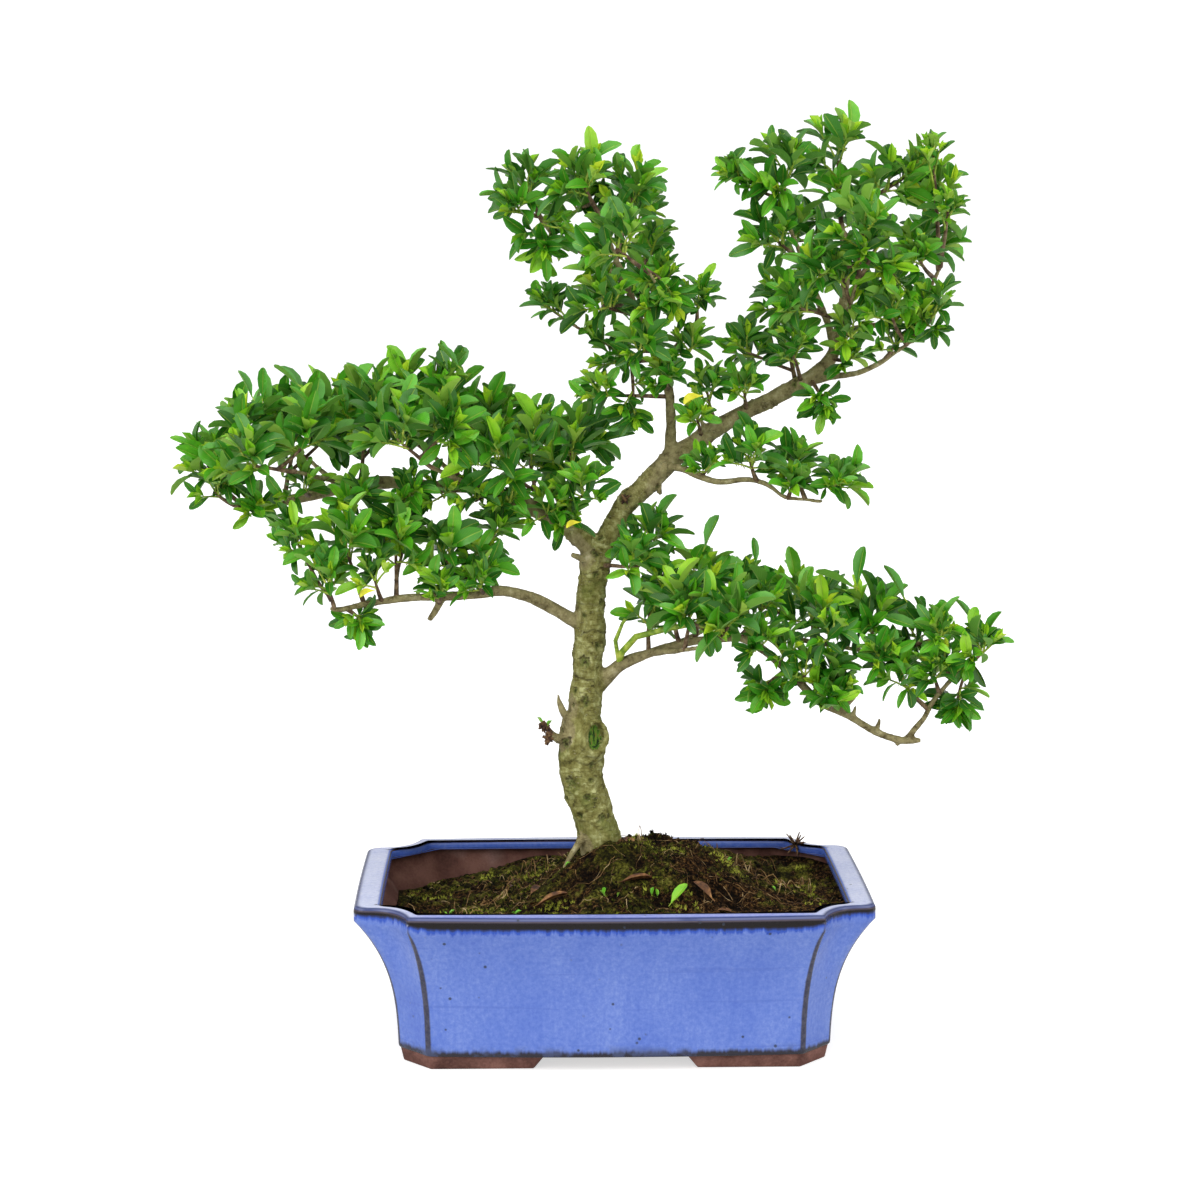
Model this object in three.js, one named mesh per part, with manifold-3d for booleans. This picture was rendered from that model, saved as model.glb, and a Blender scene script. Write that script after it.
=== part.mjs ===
// Japanese holly bonsai in a long eight-sided glazed pot.
// Millimetres, +Z up. The origin is the middle of the footprint, on the surface that the pot stands on.

import * as THREE from "three";
import { mergeVertices } from "three/addons/utils/BufferGeometryUtils.js";
import Module from "manifold-3d";

const wasm = await Module();
wasm.setup();

// Fit, and the shortest edge that a joined solid keeps
const GAP = 0.3;
const SHORTEST_EDGE = 0.02;

// Pot
const POT_HEIGHT = 93;
const FOOT_HEIGHT = 8;
const FLOOR_TOP = 16;
const LIP_BOTTOM = 84;
const LIP_EDGE = 2;
const LIP_INNER_BOTTOM = 88;
const RIM_HALF_LENGTH = 150;
const RIM_HALF_DEPTH = 110;
const BASE_HALF_LENGTH = 125;
const BASE_HALF_DEPTH = 96;
const OPENING_HALF_LENGTH = 134;
const OPENING_HALF_DEPTH = 98;
const PANEL_HALF_RIM = 118;
const PANEL_HALF_BASE = 107.5;
const PANEL_HALF_OPENING = 112;
const END_HALF_RIM = 76;
const END_HALF_BASE = 71;
const END_HALF_OPENING = 72;
const PANEL_BOW = 4;
const END_BOW = 0.6;
const INNER_PANEL_BOW = 1.2;
const INNER_END_BOW = 0.4;
const WAVE_START = 45;
const EARLY_FLARE = 0.12;
const WALL = 8.5;
const BASE_BEVEL = 1.5;
const BODY_HEIGHTS = [FOOT_HEIGHT + 2, 40, 60, 76, LIP_BOTTOM, POT_HEIGHT - LIP_EDGE];
const DRAIN_SPACING = 140;
const DRAIN_RADIUS = 10;
const DRAIN_SIDES = 16;
const DRAIN_MESH_SIDE = 34;
const DRAIN_MESH_THICKNESS = 1.2;
const DRAIN_MESH_HOLE = 11;
const DRAIN_MESH_PITCH = 15;

// Feet: an arm along each side from every corner
const FOOT_WIDTH = 14;
const FRONT_ARM_START = 40;
const END_ARM_START = 30;
const FOOT_TAPER = 7;
const FOOT_INSET = 3;
const FOOT_TOP_INSET = 1;
const FOOT_INNER_CUT = 8;
const FOOT_SINK = 1;

// The space inside: its floor's rounded edge, and the heights of its rings
const CAVITY_ROUNDING = 4;
const CAVITY_HEIGHTS = [FLOOR_TOP, FLOOR_TOP + CAVITY_ROUNDING, 60, LIP_INNER_BOTTOM - 2];

// Shares of the way from a panel's end to the short side's end, for the plain corner and for the waved one
const PLAIN_CORNER = [[0, 0], [0.2, 0.2], [0.4, 0.4], [0.6, 0.6], [0.8, 0.8], [1, 1]];
const WAVED_CORNER = [[0, 0], [0.09, 0.3], [0.25, 0.58], [0.5, 0.78], [0.88, 0.85], [1, 1]];

// Soil
const SOIL_LOW = 68;
const SOIL_RISE = 15;
const SOIL_RISE_START = -115;
const SOIL_RISE_END = -25;
const SOIL_MOUND = 24;
const SOIL_MOUND_MIDDLE = [20, 6];
const SOIL_MOUND_REACH = [58, 62];
const SOIL_CENTRE = [-6, 0];
const SOIL_RING_SHARES = [0.84, 0.63, 0.42, 0.21];

// Leaves: how far along the blade each section is, with its share of the width and its thickness
const LEAF_LENGTH = 23;
const LEAF_SLENDER = 0.4;
const LEAF_SECTIONS = [[0.34, 0.92, 1.2], [0.7, 0.86, 1]];
const GOLDEN_TURN = Math.PI * (3 - Math.sqrt(5));
const SHOOTS = 5;
const SHOOT_LEAVES = 6;
const FULL_REACH = 27;

// Leaves stand up from their shoot at its tip and open further down; arch is the rise of the blade's middle
const YOUNG_OPEN = 34;
const OLD_OPEN = 72;
const OPEN_SPREAD = 20;
const LEAF_LEAST = 0.78;
const LEAF_MOST = 1.18;
const LEAST_ARCH = 0.1;
const MOST_ARCH = 0.24;
const TIP_DROOP = 1.6;

// Shoots of a crown: the first points up and the last a little down
const FIRST_LIFT = 78;
const LAST_LIFT = -10;
const LIFT_SPREAD = 16;
const NEAR_TIP = 0.42;
const FAR_TIP = 0.62;
const HUB_DROP = 0.2;
const HANGING_SHARE = 0.4;

// What is built of each crown: the shoot that its stem ends in, and the first side shoots of these with room
const SIDE_SHOOTS = [3, 4, 2, 1];
const BUILT_SIDE_SHOOTS = 2;
const SMALL_CROWN = 19;
const BUILT_TOP_LEAVES = 3;
const BUILT_SIDE_LEAVES = 2;

// Stems: shares of the curve where a fork and a side shoot leave it
const FORK_SHARES = [0.36, 0.58];
const SHOOT_SHARE = 0.825;
const STEM_RADIUS = 1.7;
const STEM_TIP_RADIUS = 1;
const SHOOT_RADIUS = 0.9;
const JOINT_LENGTH = 2.6;
const NECK_LENGTH = 2.4;
const OWN_CROSSING = 0.005;
const LEAST_FACING = 0.15;
const LEAST_FOLD = 7;
const SEAT_GAP = GAP + 0.05;

// Ways to set a leaf that would cross something: as planned first, then turned, opened or shorter
const LEAF_CHANGES = [
  { twist: 0, spread: 0, shrink: 1 },
  { twist: 0.5, spread: 0, shrink: 1 },
  { twist: -0.5, spread: 0, shrink: 1 },
  { twist: 0, spread: 0.3, shrink: 0.92 },
  { twist: 0, spread: -0.3, shrink: 0.92 },
  { twist: 1, spread: 0.1, shrink: 0.85 },
  { twist: -1, spread: 0.1, shrink: 0.85 },
  { twist: 1.6, spread: 0.1, shrink: 0.8 },
  { twist: -1.6, spread: 0.1, shrink: 0.8 },
];

// Limbs of the tree: the number of sides, then the middle and the radius of each ring, from the root end
const LIMBS = {
  trunk: [9,
    [-3, 0, 66, 14.5], [-5, 0, 95, 13.6], [-6.5, 0, 112, 12.6], [-9.5, 0, 126, 12.3], [-14, 0, 140, 12.4],
    [-18, 0, 154, 13], [-18, 0, 166, 13.9], [-17, 0, 176, 14.2], [-17.3, 0, 184, 12.6], [-16, 0, 193, 10],
    [-14.8, 0, 209, 9.3], [-14.2, 1, 223, 9.3], [-12.6, 1, 241, 9.7], [-13, 1, 249, 8.7],
    [-12.4, 2, 257, 9.3], [-11.7, 2, 265, 8.6], [-9.3, 2, 284, 9.4], [-7, 2, 297, 7]],
  surface_root: [6, [-8, -4, 112, 5], [-19, -11, 105, 4], [-27, -16, 97, 3], [-33, -20, 86, 2]],
  right_main: [7,
    [-9, 2, 282, 7.5], [0, 2, 299, 7.2], [8, 3, 315, 6.7], [20, 5, 326.5, 6.5], [34, 8, 340, 6.4],
    [52, 10, 353, 5.7], [66, 13, 362, 5.3], [80, 16, 369, 4.9], [95, 19, 376, 4.8], [111, 21, 384.5, 4.9],
    [122, 22, 391, 4.9], [129, 24, 398, 4.2], [134, 25, 407, 3.6], [136, 27, 418, 3.3], [139, 29, 438, 2.8],
    [140, 30, 462, 2.1], [136, 30, 485, 1.5]],
  top_left: [5,
    [133, 25, 405, 2.6], [129, 22, 420, 2.3], [122, 20, 436, 2.1], [114, 16, 456, 1.8], [106, 12, 474, 1.5],
    [99, 8, 488, 1.2]],
  top_right: [5,
    [135, 26, 413, 2.4], [148, 26, 418, 2], [164, 26, 421, 1.8], [176, 26, 428, 1.6], [188, 24, 440, 1.4],
    [195, 22, 454, 1.1]],
  top_low_right: [5,
    [119, 21, 387, 2.6], [133, 16, 390, 2.1], [145, 12, 392, 1.9], [157, 8, 397.5, 1.7], [167, 3, 405, 1.4],
    [177, -2, 412, 1.1]],
  top_back: [4, [136, 26, 419, 2.4], [140, 46, 432, 1.9], [142, 64, 448, 1.6], [142, 77, 464, 1.2]],
  top_front: [4, [133, 25, 407, 2.4], [136, 4, 420, 1.9], [138, -16, 434, 1.6], [140, -32, 449, 1.2]],
  centre: [6,
    [33, 8, 337, 4.2], [34.5, 8, 347, 3.6], [35, 6, 366, 3.1], [33, 4, 386, 2.9], [28, 3, 400, 2.7],
    [20, 2, 417, 2.6], [13, 1, 432, 2.5], [8, 0, 447, 2.2], [2, 0, 460, 1.9], [-4, -2, 476, 1.6],
    [-9, -3, 489, 1.2]],
  centre_left: [4,
    [9, 0, 445, 2.2], [-8, 2, 457, 1.8], [-22, 3, 466, 1.7], [-34, 4, 473, 1.5], [-42, 5, 484, 1.2]],
  centre_back: [4, [14, 1, 430, 2], [20, 22, 442, 1.6], [24, 40, 454, 1.4], [22, 54, 468, 1.1]],
  centre_front: [4, [19, 2, 418, 2], [26, -18, 430, 1.6], [26, -34, 441, 1.3], [20, -46, 453, 1.1]],
  centre_right: [4, [29, 3, 398, 2], [40, 0, 411, 1.5], [50, -4, 423, 1.2]],
  left_main: [7,
    [-8, 2, 285, 7], [-16, 2, 295, 7], [-24, 3, 301, 6.4], [-36, 4, 308, 5.6], [-48, 6, 314, 5],
    [-60, 7, 319, 4.4], [-82, 11, 325, 4], [-106, 13, 325, 4], [-120, 14, 327, 4], [-144, 16, 327, 4],
    [-160, 17, 323.5, 3.5], [-176, 18, 320, 3.2], [-190, 19, 317, 3.1], [-203, 20, 314.5, 3],
    [-216, 20, 314, 2.8], [-220, 20, 312.5, 2]],
  left_front: [4, [-64, 8, 320, 2.8], [-78, -8, 327, 2.1], [-92, -24, 334, 1.8], [-104, -38, 341, 1.4]],
  left_back: [4, [-84, 11, 325, 2.8], [-92, 28, 330, 2.1], [-101, 44, 336, 1.8], [-109, 56, 342, 1.4]],
  left_front_far: [4,
    [-150, 16, 326, 2.6], [-162, 0, 330, 1.9], [-174, -14, 334, 1.6], [-184, -25, 338, 1.2]],
  left_back_far: [4,
    [-160, 17, 324, 2.6], [-168, 32, 329, 1.9], [-176, 46, 334, 1.6], [-183, 57, 339, 1.2]],
  inner_back: [4, [-24, 3, 301, 3], [-29, 20, 311, 2.1], [-33, 35, 320, 1.7], [-35, 46, 329, 1.3]],
  left_lower: [6,
    [-14, 0, 242, 4.4], [-22, -2, 247, 4], [-42, -8, 259, 3.7], [-54, -12, 264, 3.3], [-66, -15, 266.5, 3.1],
    [-80, -20, 265, 2.9], [-99, -27, 265, 2.7], [-122, -35, 265, 2.5], [-134, -38, 263.5, 2.2],
    [-146, -42, 262, 2], [-157, -46, 260, 1.8], [-163, -49, 261, 1.5]],
  right_lower: [6,
    [-12, 0, 205, 5], [-4, 0, 212, 4.9], [4, -2, 219.5, 4], [14, -5, 225, 3.3], [26, -8, 229.5, 2.9],
    [38, -10, 233.5, 2.6], [52, -12, 236.5, 2.4], [66, -15, 238, 2.3], [75, -18, 238.5, 2.5],
    [86, -20, 233.5, 2.6], [98, -21, 224, 2.5], [107, -22, 216, 2.5], [115, -25, 207.5, 2.4],
    [124, -28, 200.5, 2.4], [139, -30, 193.5, 2.3], [149, -32, 187.5, 2.3], [159, -35, 183, 2.2],
    [171, -38, 180.5, 2.2], [179, -40, 181.5, 1.6]],
  right_lower_turn: [5,
    [170, -38, 180, 2.2], [176, -39, 188, 1.9], [181, -40, 194.5, 1.8], [186, -40, 204, 1.6],
    [193, -40, 213, 1.4], [202, -40, 223, 1.1]],
  right_lower_inner: [4,
    [76, -18, 238, 2.4], [90, -14, 239, 1.9], [112, -10, 236, 1.7], [138, -8, 231, 1.5], [162, -8, 228, 1.3],
    [174, -9, 231, 1.1]],
  right_lower_back: [4,
    [37, -10, 233, 2.4], [50, 12, 236, 1.8], [64, 32, 240, 1.6], [82, 48, 242, 1.3], [100, 55, 242, 1.1]],
  right_lower_front: [4, [25, -8, 229, 2.6], [34, -26, 232, 1.8], [46, -42, 236, 1.4], [58, -50, 240, 1.1]],
  right_middle: [5,
    [31, 6, 337, 3], [41, -8, 337.5, 2.4], [60, -15, 330.5, 1.9], [79, -15, 331.5, 1.8], [90, -17, 329, 1.6],
    [100, -20, 322, 1.4], [112, -22, 320.5, 1.2], [122, -24, 319.5, 1.1]],
  cut_stub: [4, [-99, -27, 265, 2.4], [-103, -28, 257, 2.1], [-107, -29, 251, 1.8]],
  fork_stub: [5, [-14, -4, 283, 2.6], [-24, -8, 287, 1.6]],
  broken_stub: [5, [-22, -5, 176, 3.4], [-33, -9, 178, 2.6], [-37, -10, 183, 1.5]],
  thorn_stub: [4, [-18, -5, 192, 2.6], [-27.5, -8, 198, 1.1]],
  under_stub: [4, [26, 4, 332, 2.4], [29, 2, 321, 1.3]],
  upper_stub: [4, [58, 11, 355, 2.2], [52, 9, 366, 1.3]],
};
const SCAR = { middle: [-8, -11.5, 179], width: 13, height: 20, ring: 2.2 };

// Sprays: the limb and the share of it where the spray grows, then the middle and radius of each crown
const SPRAYS = {
  left_01: ["left_main", 0.975, [-238, 12, 344, 27], [-212, 0, 366, 28]],
  left_02: ["left_back_far", 0.97, [-206, 62, 354, 29], [-172, 58, 362, 28]],
  left_03: ["left_front_far", 0.97, [-210, -36, 348, 29], [-176, -24, 360, 28]],
  left_04: ["left_main", 0.82, [-186, 16, 374, 28], [-160, 30, 374, 28]],
  left_05: ["left_main", 0.62, [-142, 2, 378, 28], [-118, 20, 382, 28]],
  left_06: ["left_back", 0.97, [-132, 62, 366, 29], [-100, 58, 368, 28]],
  left_07: ["left_front", 0.97, [-124, -42, 364, 29], [-97, -38, 366, 28]],
  left_08: ["left_main", 0.42, [-96, 4, 382, 27], [-68, 46, 354, 27], [-72, 14, 364, 28]],
  left_09: ["left_main", 0.24, [-48, 0, 350, 27], [-68, -28, 350, 27]],
  left_10: ["inner_back", 0.97, [-42, 52, 352, 27], [-12, 44, 352, 26]],
  left_11: ["left_main", 0.12, [-24, 6, 352, 27], [-12, -20, 330, 24]],
  low_left_01: ["left_lower", 0.97, [-164, -50, 278, 20], [-184, -34, 303, 18]],
  low_left_02: ["left_lower", 0.88, [-150, -44, 252, 14]],
  low_left_03: ["left_lower", 0.8, [-154, -36, 300, 27]],
  low_left_04: ["left_lower", 0.66, [-126, -34, 300, 26], [-122, -6, 302, 25]],
  low_left_05: ["left_lower", 0.45, [-98, -26, 293, 25], [-78, -20, 284, 20], [-66, -10, 306, 18]],
  centre_01: ["centre_left", 0.97, [-54, 8, 502, 27], [-42, -14, 480, 25]],
  centre_02: ["centre", 0.98, [-16, -6, 506, 27], [-20, 26, 492, 27]],
  centre_03: ["centre", 0.8, [12, 6, 500, 27]],
  centre_04: ["centre_back", 0.97, [16, 58, 488, 27], [0, 44, 458, 27]],
  centre_05: ["centre_front", 0.97, [2, -48, 472, 28], [34, -32, 454, 25]],
  centre_06: ["centre", 0.68, [28, 14, 470, 25]],
  centre_07: ["centre", 0.56, [-6, -14, 438, 24]],
  centre_08: ["centre_right", 0.97, [50, -5, 438, 25]],
  centre_09: ["centre", 0.4, [2, 0, 403, 20], [-38, 2, 432, 15], [12, -8, 376, 14]],
  top_01: ["top_left", 0.98, [102, 6, 512, 28], [70, 4, 509, 18]],
  top_02: ["top_left", 0.62, [95, 2, 474, 27]],
  top_03: ["right_main", 0.98, [134, 28, 524, 28], [162, 14, 504, 27]],
  top_04: ["top_back", 0.97, [142, 82, 492, 29], [112, 62, 474, 27], [156, 56, 458, 26]],
  top_05: ["top_front", 0.97, [142, -38, 480, 29], [118, -30, 456, 25], [164, -14, 454, 26]],
  top_06: ["top_right", 0.97, [192, 18, 498, 28], [188, 36, 468, 26]],
  top_07: ["top_low_right", 0.97, [190, -6, 432, 25]],
  top_08: ["top_left", 0.3, [98, 16, 436, 26]],
  top_09: ["right_main", 0.56, [106, 28, 412, 23], [78, 14, 410, 20]],
  top_10: ["right_main", 0.36, [56, -2, 385, 17]],
  top_11: ["right_main", 0.6, [126, 2, 379, 14]],
  middle_01: ["right_middle", 0.5, [80, -22, 347, 23]],
  middle_02: ["right_middle", 0.86, [106, -14, 343, 21], [133, -24, 333, 21]],
  right_01: ["right_main", 0.06, [24, -14, 299, 23]],
  right_02: ["right_lower", 0.2, [22, -12, 258, 21]],
  right_03: ["right_lower_front", 0.97, [66, -58, 258, 27], [38, -48, 262, 25]],
  right_04: ["right_lower", 0.32, [54, -8, 272, 25]],
  right_05: ["right_lower_back", 0.97, [112, 60, 252, 25], [80, 44, 260, 26]],
  right_06: ["right_lower", 0.44, [87, -24, 263, 24]],
  right_07: ["right_lower_inner", 0.45, [118, -8, 256, 26], [130, 24, 249, 24]],
  right_08: ["right_lower_inner", 0.75, [152, -8, 252, 26]],
  right_09: ["right_lower_inner", 0.97, [181, -8, 242, 26]],
  right_10: ["right_lower_turn", 0.97, [218, -40, 238, 24], [202, -38, 204, 18]],
  right_11: ["right_lower", 0.58, [88, -30, 212, 17]],
  right_12: ["right_lower_turn", 0.5, [166, -34, 222, 20]],
  right_13: ["right_lower", 0.7, [126, -30, 221, 22]],
};

// Leaves that have dropped: the place on the soil, the heading in degrees, the length and the finish
const FALLEN_LEAVES = [
  [38, -60, 20, 22, "fresh"],
  [14, -38, 75, 19, "dead"],
  [52, -52, 130, 18, "dead"],
  [-36, -44, 10, 20, "dead"],
];

const FALLEN_ROOT_RADIUS = 0.6;
const FALLEN_ARCH = 0.05;
const FALLEN_START = 6;

const MATERIALS = {
  glaze: new THREE.MeshStandardMaterial({ color: 0x6f86d6, roughness: 0.25, metalness: 0 }),
  soil: new THREE.MeshStandardMaterial({ color: 0x33281b, roughness: 1, metalness: 0 }),
  bark: new THREE.MeshStandardMaterial({ color: 0x8d8669, roughness: 0.85, metalness: 0 }),
  leaf: new THREE.MeshStandardMaterial({ color: 0x3f7a22, roughness: 0.45, metalness: 0 }),
  fresh: new THREE.MeshStandardMaterial({ color: 0x6fa531, roughness: 0.5, metalness: 0 }),
  dead: new THREE.MeshStandardMaterial({ color: 0x6d4526, roughness: 0.8, metalness: 0 }),
  plastic: new THREE.MeshStandardMaterial({ color: 0x1d1f1e, roughness: 0.6, metalness: 0 }),
};

const { clamp, degToRad, lerp } = THREE.MathUtils;
const UP = new THREE.Vector3(0, 0, 1);

// Repeatable random numbers from 0 to 1
function randomFrom(seed) {
  let state = seed;
  return () => {
    state = (state * 16807) % 2147483647;
    return state / 2147483647;
  };
}

// Closed skins and solids

// Triangles of a flat face, turned the way its ring of points turns
function capTriangles(ring) {
  const origin = ring[0];
  const across = ring[1].clone().sub(origin).normalize();
  const normal = new THREE.Vector3();
  ring.forEach((point, k) => {
    const next = ring[(k + 1) % ring.length];
    normal.add(point.clone().sub(origin).cross(next.clone().sub(origin)));
  });
  const along = normal.normalize().clone().cross(across);
  const flat = ring.map((point) => {
    const offset = point.clone().sub(origin);
    return new THREE.Vector2(offset.dot(across), offset.dot(along));
  });
  return THREE.ShapeUtils.triangulateShape(flat, []).map(([a, b, c]) => {
    const turn = flat[b].clone().sub(flat[a]).cross(flat[c].clone().sub(flat[a]));
    return turn > 0 ? [a, b, c] : [a, c, b];
  });
}

// A closed skin through rings of points; a ring of one point is a tip
function loft(rings) {
  const positions = rings.flat().flatMap((point) => point.toArray());
  const triangles = [];
  let start = 0;
  rings.slice(0, -1).forEach((ring, k) => {
    const next = rings[k + 1];
    const nextStart = start + ring.length;
    const count = Math.max(ring.length, next.length);
    for (let i = 0; i < count; i += 1) {
      const j = (i + 1) % count;
      const [a, b] = ring.length > 1 ? [start + i, start + j] : [start, start];
      const [c, d] = next.length > 1 ? [nextStart + j, nextStart + i] : [nextStart, nextStart];
      if (a !== b) triangles.push([a, b, c]);
      if (c !== d) triangles.push([a, c, d]);
    }
    start = nextStart;
  });
  const first = rings[0];
  const last = rings[rings.length - 1];
  if (first.length > 1) triangles.push(...capTriangles(first).map(([a, b, c]) => [a, c, b]));
  if (last.length > 1) triangles.push(...capTriangles(last).map((face) => face.map((i) => i + start)));
  const geometry = new THREE.BufferGeometry();
  geometry.setAttribute("position", new THREE.Float32BufferAttribute(positions, 3));
  geometry.setIndex(triangles.flat());
  return geometry;
}

// A solid that can be joined and cut, from a closed geometry
function solidOf(geometry) {
  const bare = geometry.clone();
  bare.deleteAttribute("normal");
  bare.deleteAttribute("uv");
  const merged = mergeVertices(bare);
  return new wasm.Manifold(new wasm.Mesh({
    numProp: 3,
    vertProperties: Float32Array.from(merged.attributes.position.array),
    triVerts: Uint32Array.from(merged.index.array),
  }));
}

// The largest piece of a solid, without loose scraps and the shortest edges
function largestPiece(solid) {
  return solid.decompose().sort((a, b) => b.volume() - a.volume())[0].simplify(SHORTEST_EDGE);
}

function geometryOf(solid) {
  const { vertProperties, triVerts } = solid.getMesh();
  const geometry = new THREE.BufferGeometry();
  geometry.setAttribute("position", new THREE.BufferAttribute(Float32Array.from(vertProperties), 3));
  geometry.setIndex(new THREE.BufferAttribute(Uint32Array.from(triVerts), 1));
  geometry.computeVertexNormals();
  return geometry;
}

const group = new THREE.Group();

function addNode(name, geometry, material) {
  const mesh = new THREE.Mesh(geometry, material);
  mesh.name = name;
  group.add(mesh);
}

// A tapered tube: rings round the points of a path, each with its own radius
function tube(path, radii, sides) {
  let normal = new THREE.Vector3(0.31, 0.92, 0.24);
  const rings = path.map((middle, k) => {
    const before = path[Math.max(k - 1, 0)];
    const after = path[Math.min(k + 1, path.length - 1)];
    const along = after.clone().sub(before).normalize();
    normal = normal.clone().projectOnPlane(along).normalize();
    const side = along.clone().cross(normal);
    return Array.from({ length: sides }, (_, i) => {
      const turn = (2 * Math.PI * i) / sides;
      return middle.clone()
        .addScaledVector(normal, radii[k] * Math.cos(turn))
        .addScaledVector(side, radii[k] * Math.sin(turn));
    });
  });
  return solidOf(loft(rings));
}

// Pot

// How far the wall has flared at a height: 0 at the base, 1 from the lip up
function flare(z) {
  const rise = clamp((z - FOOT_HEIGHT) / (LIP_BOTTOM - FOOT_HEIGHT), 0, 1);
  return lerp(rise ** 3, rise, EARLY_FLARE);
}

// A ring of points at one height, from the quarter that holds +X and +Y
function fourQuarters(quarter, z) {
  const mirrored = [...quarter].reverse();
  const points = [
    ...quarter.map(([x, y]) => [x, y]),
    ...mirrored.map(([x, y]) => [-x, y]),
    ...quarter.map(([x, y]) => [-x, -y]),
    ...mirrored.map(([x, y]) => [x, -y]),
  ];
  const apart = points.filter(([x, y], k) => {
    const [u, v] = points[(k + 1) % points.length];
    return Math.hypot(x - u, y - v) > 0.01;
  });
  return apart.map(([x, y]) => new THREE.Vector3(x, y, z));
}

// The outer wall's outline: the short side's middle, the corner, the long panel's end and its bowed middle
function wallRing(z, inset = 0) {
  const open = flare(z);
  const wave = THREE.MathUtils.smoothstep(z, WAVE_START, LIP_BOTTOM);
  const halfLength = lerp(BASE_HALF_LENGTH, RIM_HALF_LENGTH, open) - inset;
  const halfDepth = lerp(BASE_HALF_DEPTH, RIM_HALF_DEPTH, open) - inset;
  const panelEnd = lerp(PANEL_HALF_BASE, PANEL_HALF_RIM, open) - inset / 2;
  const sideEnd = lerp(END_HALF_BASE, END_HALF_RIM, open) - inset / 2;
  const panelY = halfDepth - PANEL_BOW;
  const corner = PLAIN_CORNER.map(([u, v], k) => {
    const across = lerp(u, WAVED_CORNER[k][0], wave);
    const down = lerp(v, WAVED_CORNER[k][1], wave);
    return [lerp(panelEnd, halfLength, across), lerp(panelY, sideEnd, down)];
  });
  return fourQuarters([[halfLength + END_BOW, 0], ...corner.reverse(), [0, halfDepth]], z);
}

// An eight-sided outline with the corner's points evenly spaced, for the opening and the space inside
function octagonRing(halfLength, halfDepth, panelEnd, sideEnd, z) {
  const panelY = halfDepth - INNER_PANEL_BOW;
  const corner = PLAIN_CORNER.map(([u, v]) => [lerp(panelEnd, halfLength, u), lerp(panelY, sideEnd, v)]);
  return fourQuarters([[halfLength + INNER_END_BOW, 0], ...corner.reverse(), [0, halfDepth]], z);
}

function openingRing(z, inset = 0) {
  return octagonRing(OPENING_HALF_LENGTH - inset, OPENING_HALF_DEPTH - inset,
    PANEL_HALF_OPENING - inset / 2, END_HALF_OPENING - inset / 2, z);
}

// The rings of the space inside, from its rounded floor to the lip
function cavityRings(gap = 0) {
  return CAVITY_HEIGHTS.map((z, k) => {
    const open = flare(z);
    const inset = WALL + gap + (k === 0 ? CAVITY_ROUNDING : 0);
    return octagonRing(
      lerp(BASE_HALF_LENGTH, RIM_HALF_LENGTH, open) - inset,
      lerp(BASE_HALF_DEPTH, RIM_HALF_DEPTH, open) - inset,
      lerp(PANEL_HALF_BASE, PANEL_HALF_RIM, open) - CAVITY_ROUNDING / 2 - (inset + WALL) / 2,
      lerp(END_HALF_BASE, END_HALF_RIM, open) - (inset + WALL) / 2, z);
  });
}

function footSolid(signX, signY) {
  const outline = (z, inset, taper) => {
    const length = BASE_HALF_LENGTH - inset;
    const depth = BASE_HALF_DEPTH - PANEL_BOW - inset;
    const points = [
      [length, END_ARM_START + taper], [length, END_HALF_BASE - inset / 2],
      [PANEL_HALF_BASE - inset / 2, depth], [FRONT_ARM_START + taper, depth],
      [FRONT_ARM_START + taper, depth - FOOT_WIDTH],
      [PANEL_HALF_BASE - FOOT_INNER_CUT, depth - FOOT_WIDTH],
      [length - FOOT_WIDTH, END_HALF_BASE - FOOT_INNER_CUT],
      [length - FOOT_WIDTH, END_ARM_START + taper],
    ];
    const ring = points.map(([x, y]) => new THREE.Vector3(signX * x, signY * y, z));
    return signX * signY > 0 ? ring : ring.reverse();
  };
  return solidOf(loft([
    outline(0, FOOT_INSET, FOOT_TAPER),
    outline(FOOT_HEIGHT + FOOT_SINK, FOOT_TOP_INSET, 0),
  ]));
}

function drainHole(x) {
  const hole = new THREE.CylinderGeometry(DRAIN_RADIUS, DRAIN_RADIUS, 2 * FLOOR_TOP, DRAIN_SIDES);
  hole.rotateX(Math.PI / 2);
  hole.translate(x, 0, FLOOR_TOP);
  return solidOf(hole);
}

function potSolid() {
  const body = solidOf(loft([
    wallRing(FOOT_HEIGHT, BASE_BEVEL),
    ...BODY_HEIGHTS.map((z) => wallRing(z)),
    wallRing(POT_HEIGHT, LIP_EDGE),
    openingRing(POT_HEIGHT, -LIP_EDGE),
    openingRing(POT_HEIGHT - LIP_EDGE),
    openingRing(LIP_INNER_BOTTOM),
    ...cavityRings().reverse(),
  ]));
  const feet = [[1, 1], [-1, 1], [-1, -1], [1, -1]].map(([x, y]) => footSolid(x, y));
  const holes = [-1, 1].map((side) => drainHole(side * DRAIN_SPACING / 2));
  return largestPiece(wasm.Manifold.union([body, ...feet]).subtract(wasm.Manifold.union(holes)));
}

function drainMeshSolid(x) {
  const z = FLOOR_TOP + GAP + DRAIN_MESH_THICKNESS / 2;
  const boxAt = (side, height, u, v) => {
    const box = new THREE.BoxGeometry(side, side, height);
    box.translate(x + u, v, z);
    return solidOf(box);
  };
  const steps = [-DRAIN_MESH_PITCH / 2, DRAIN_MESH_PITCH / 2];
  const deep = 2 * DRAIN_MESH_THICKNESS;
  const holes = steps.flatMap((u) => steps.map((v) => boxAt(DRAIN_MESH_HOLE, deep, u, v)));
  return boxAt(DRAIN_MESH_SIDE, DRAIN_MESH_THICKNESS, 0, 0).subtract(wasm.Manifold.union(holes));
}

// Wood

function limbPath(name) {
  return LIMBS[name].slice(1).map(([x, y, z]) => new THREE.Vector3(x, y, z));
}

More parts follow.
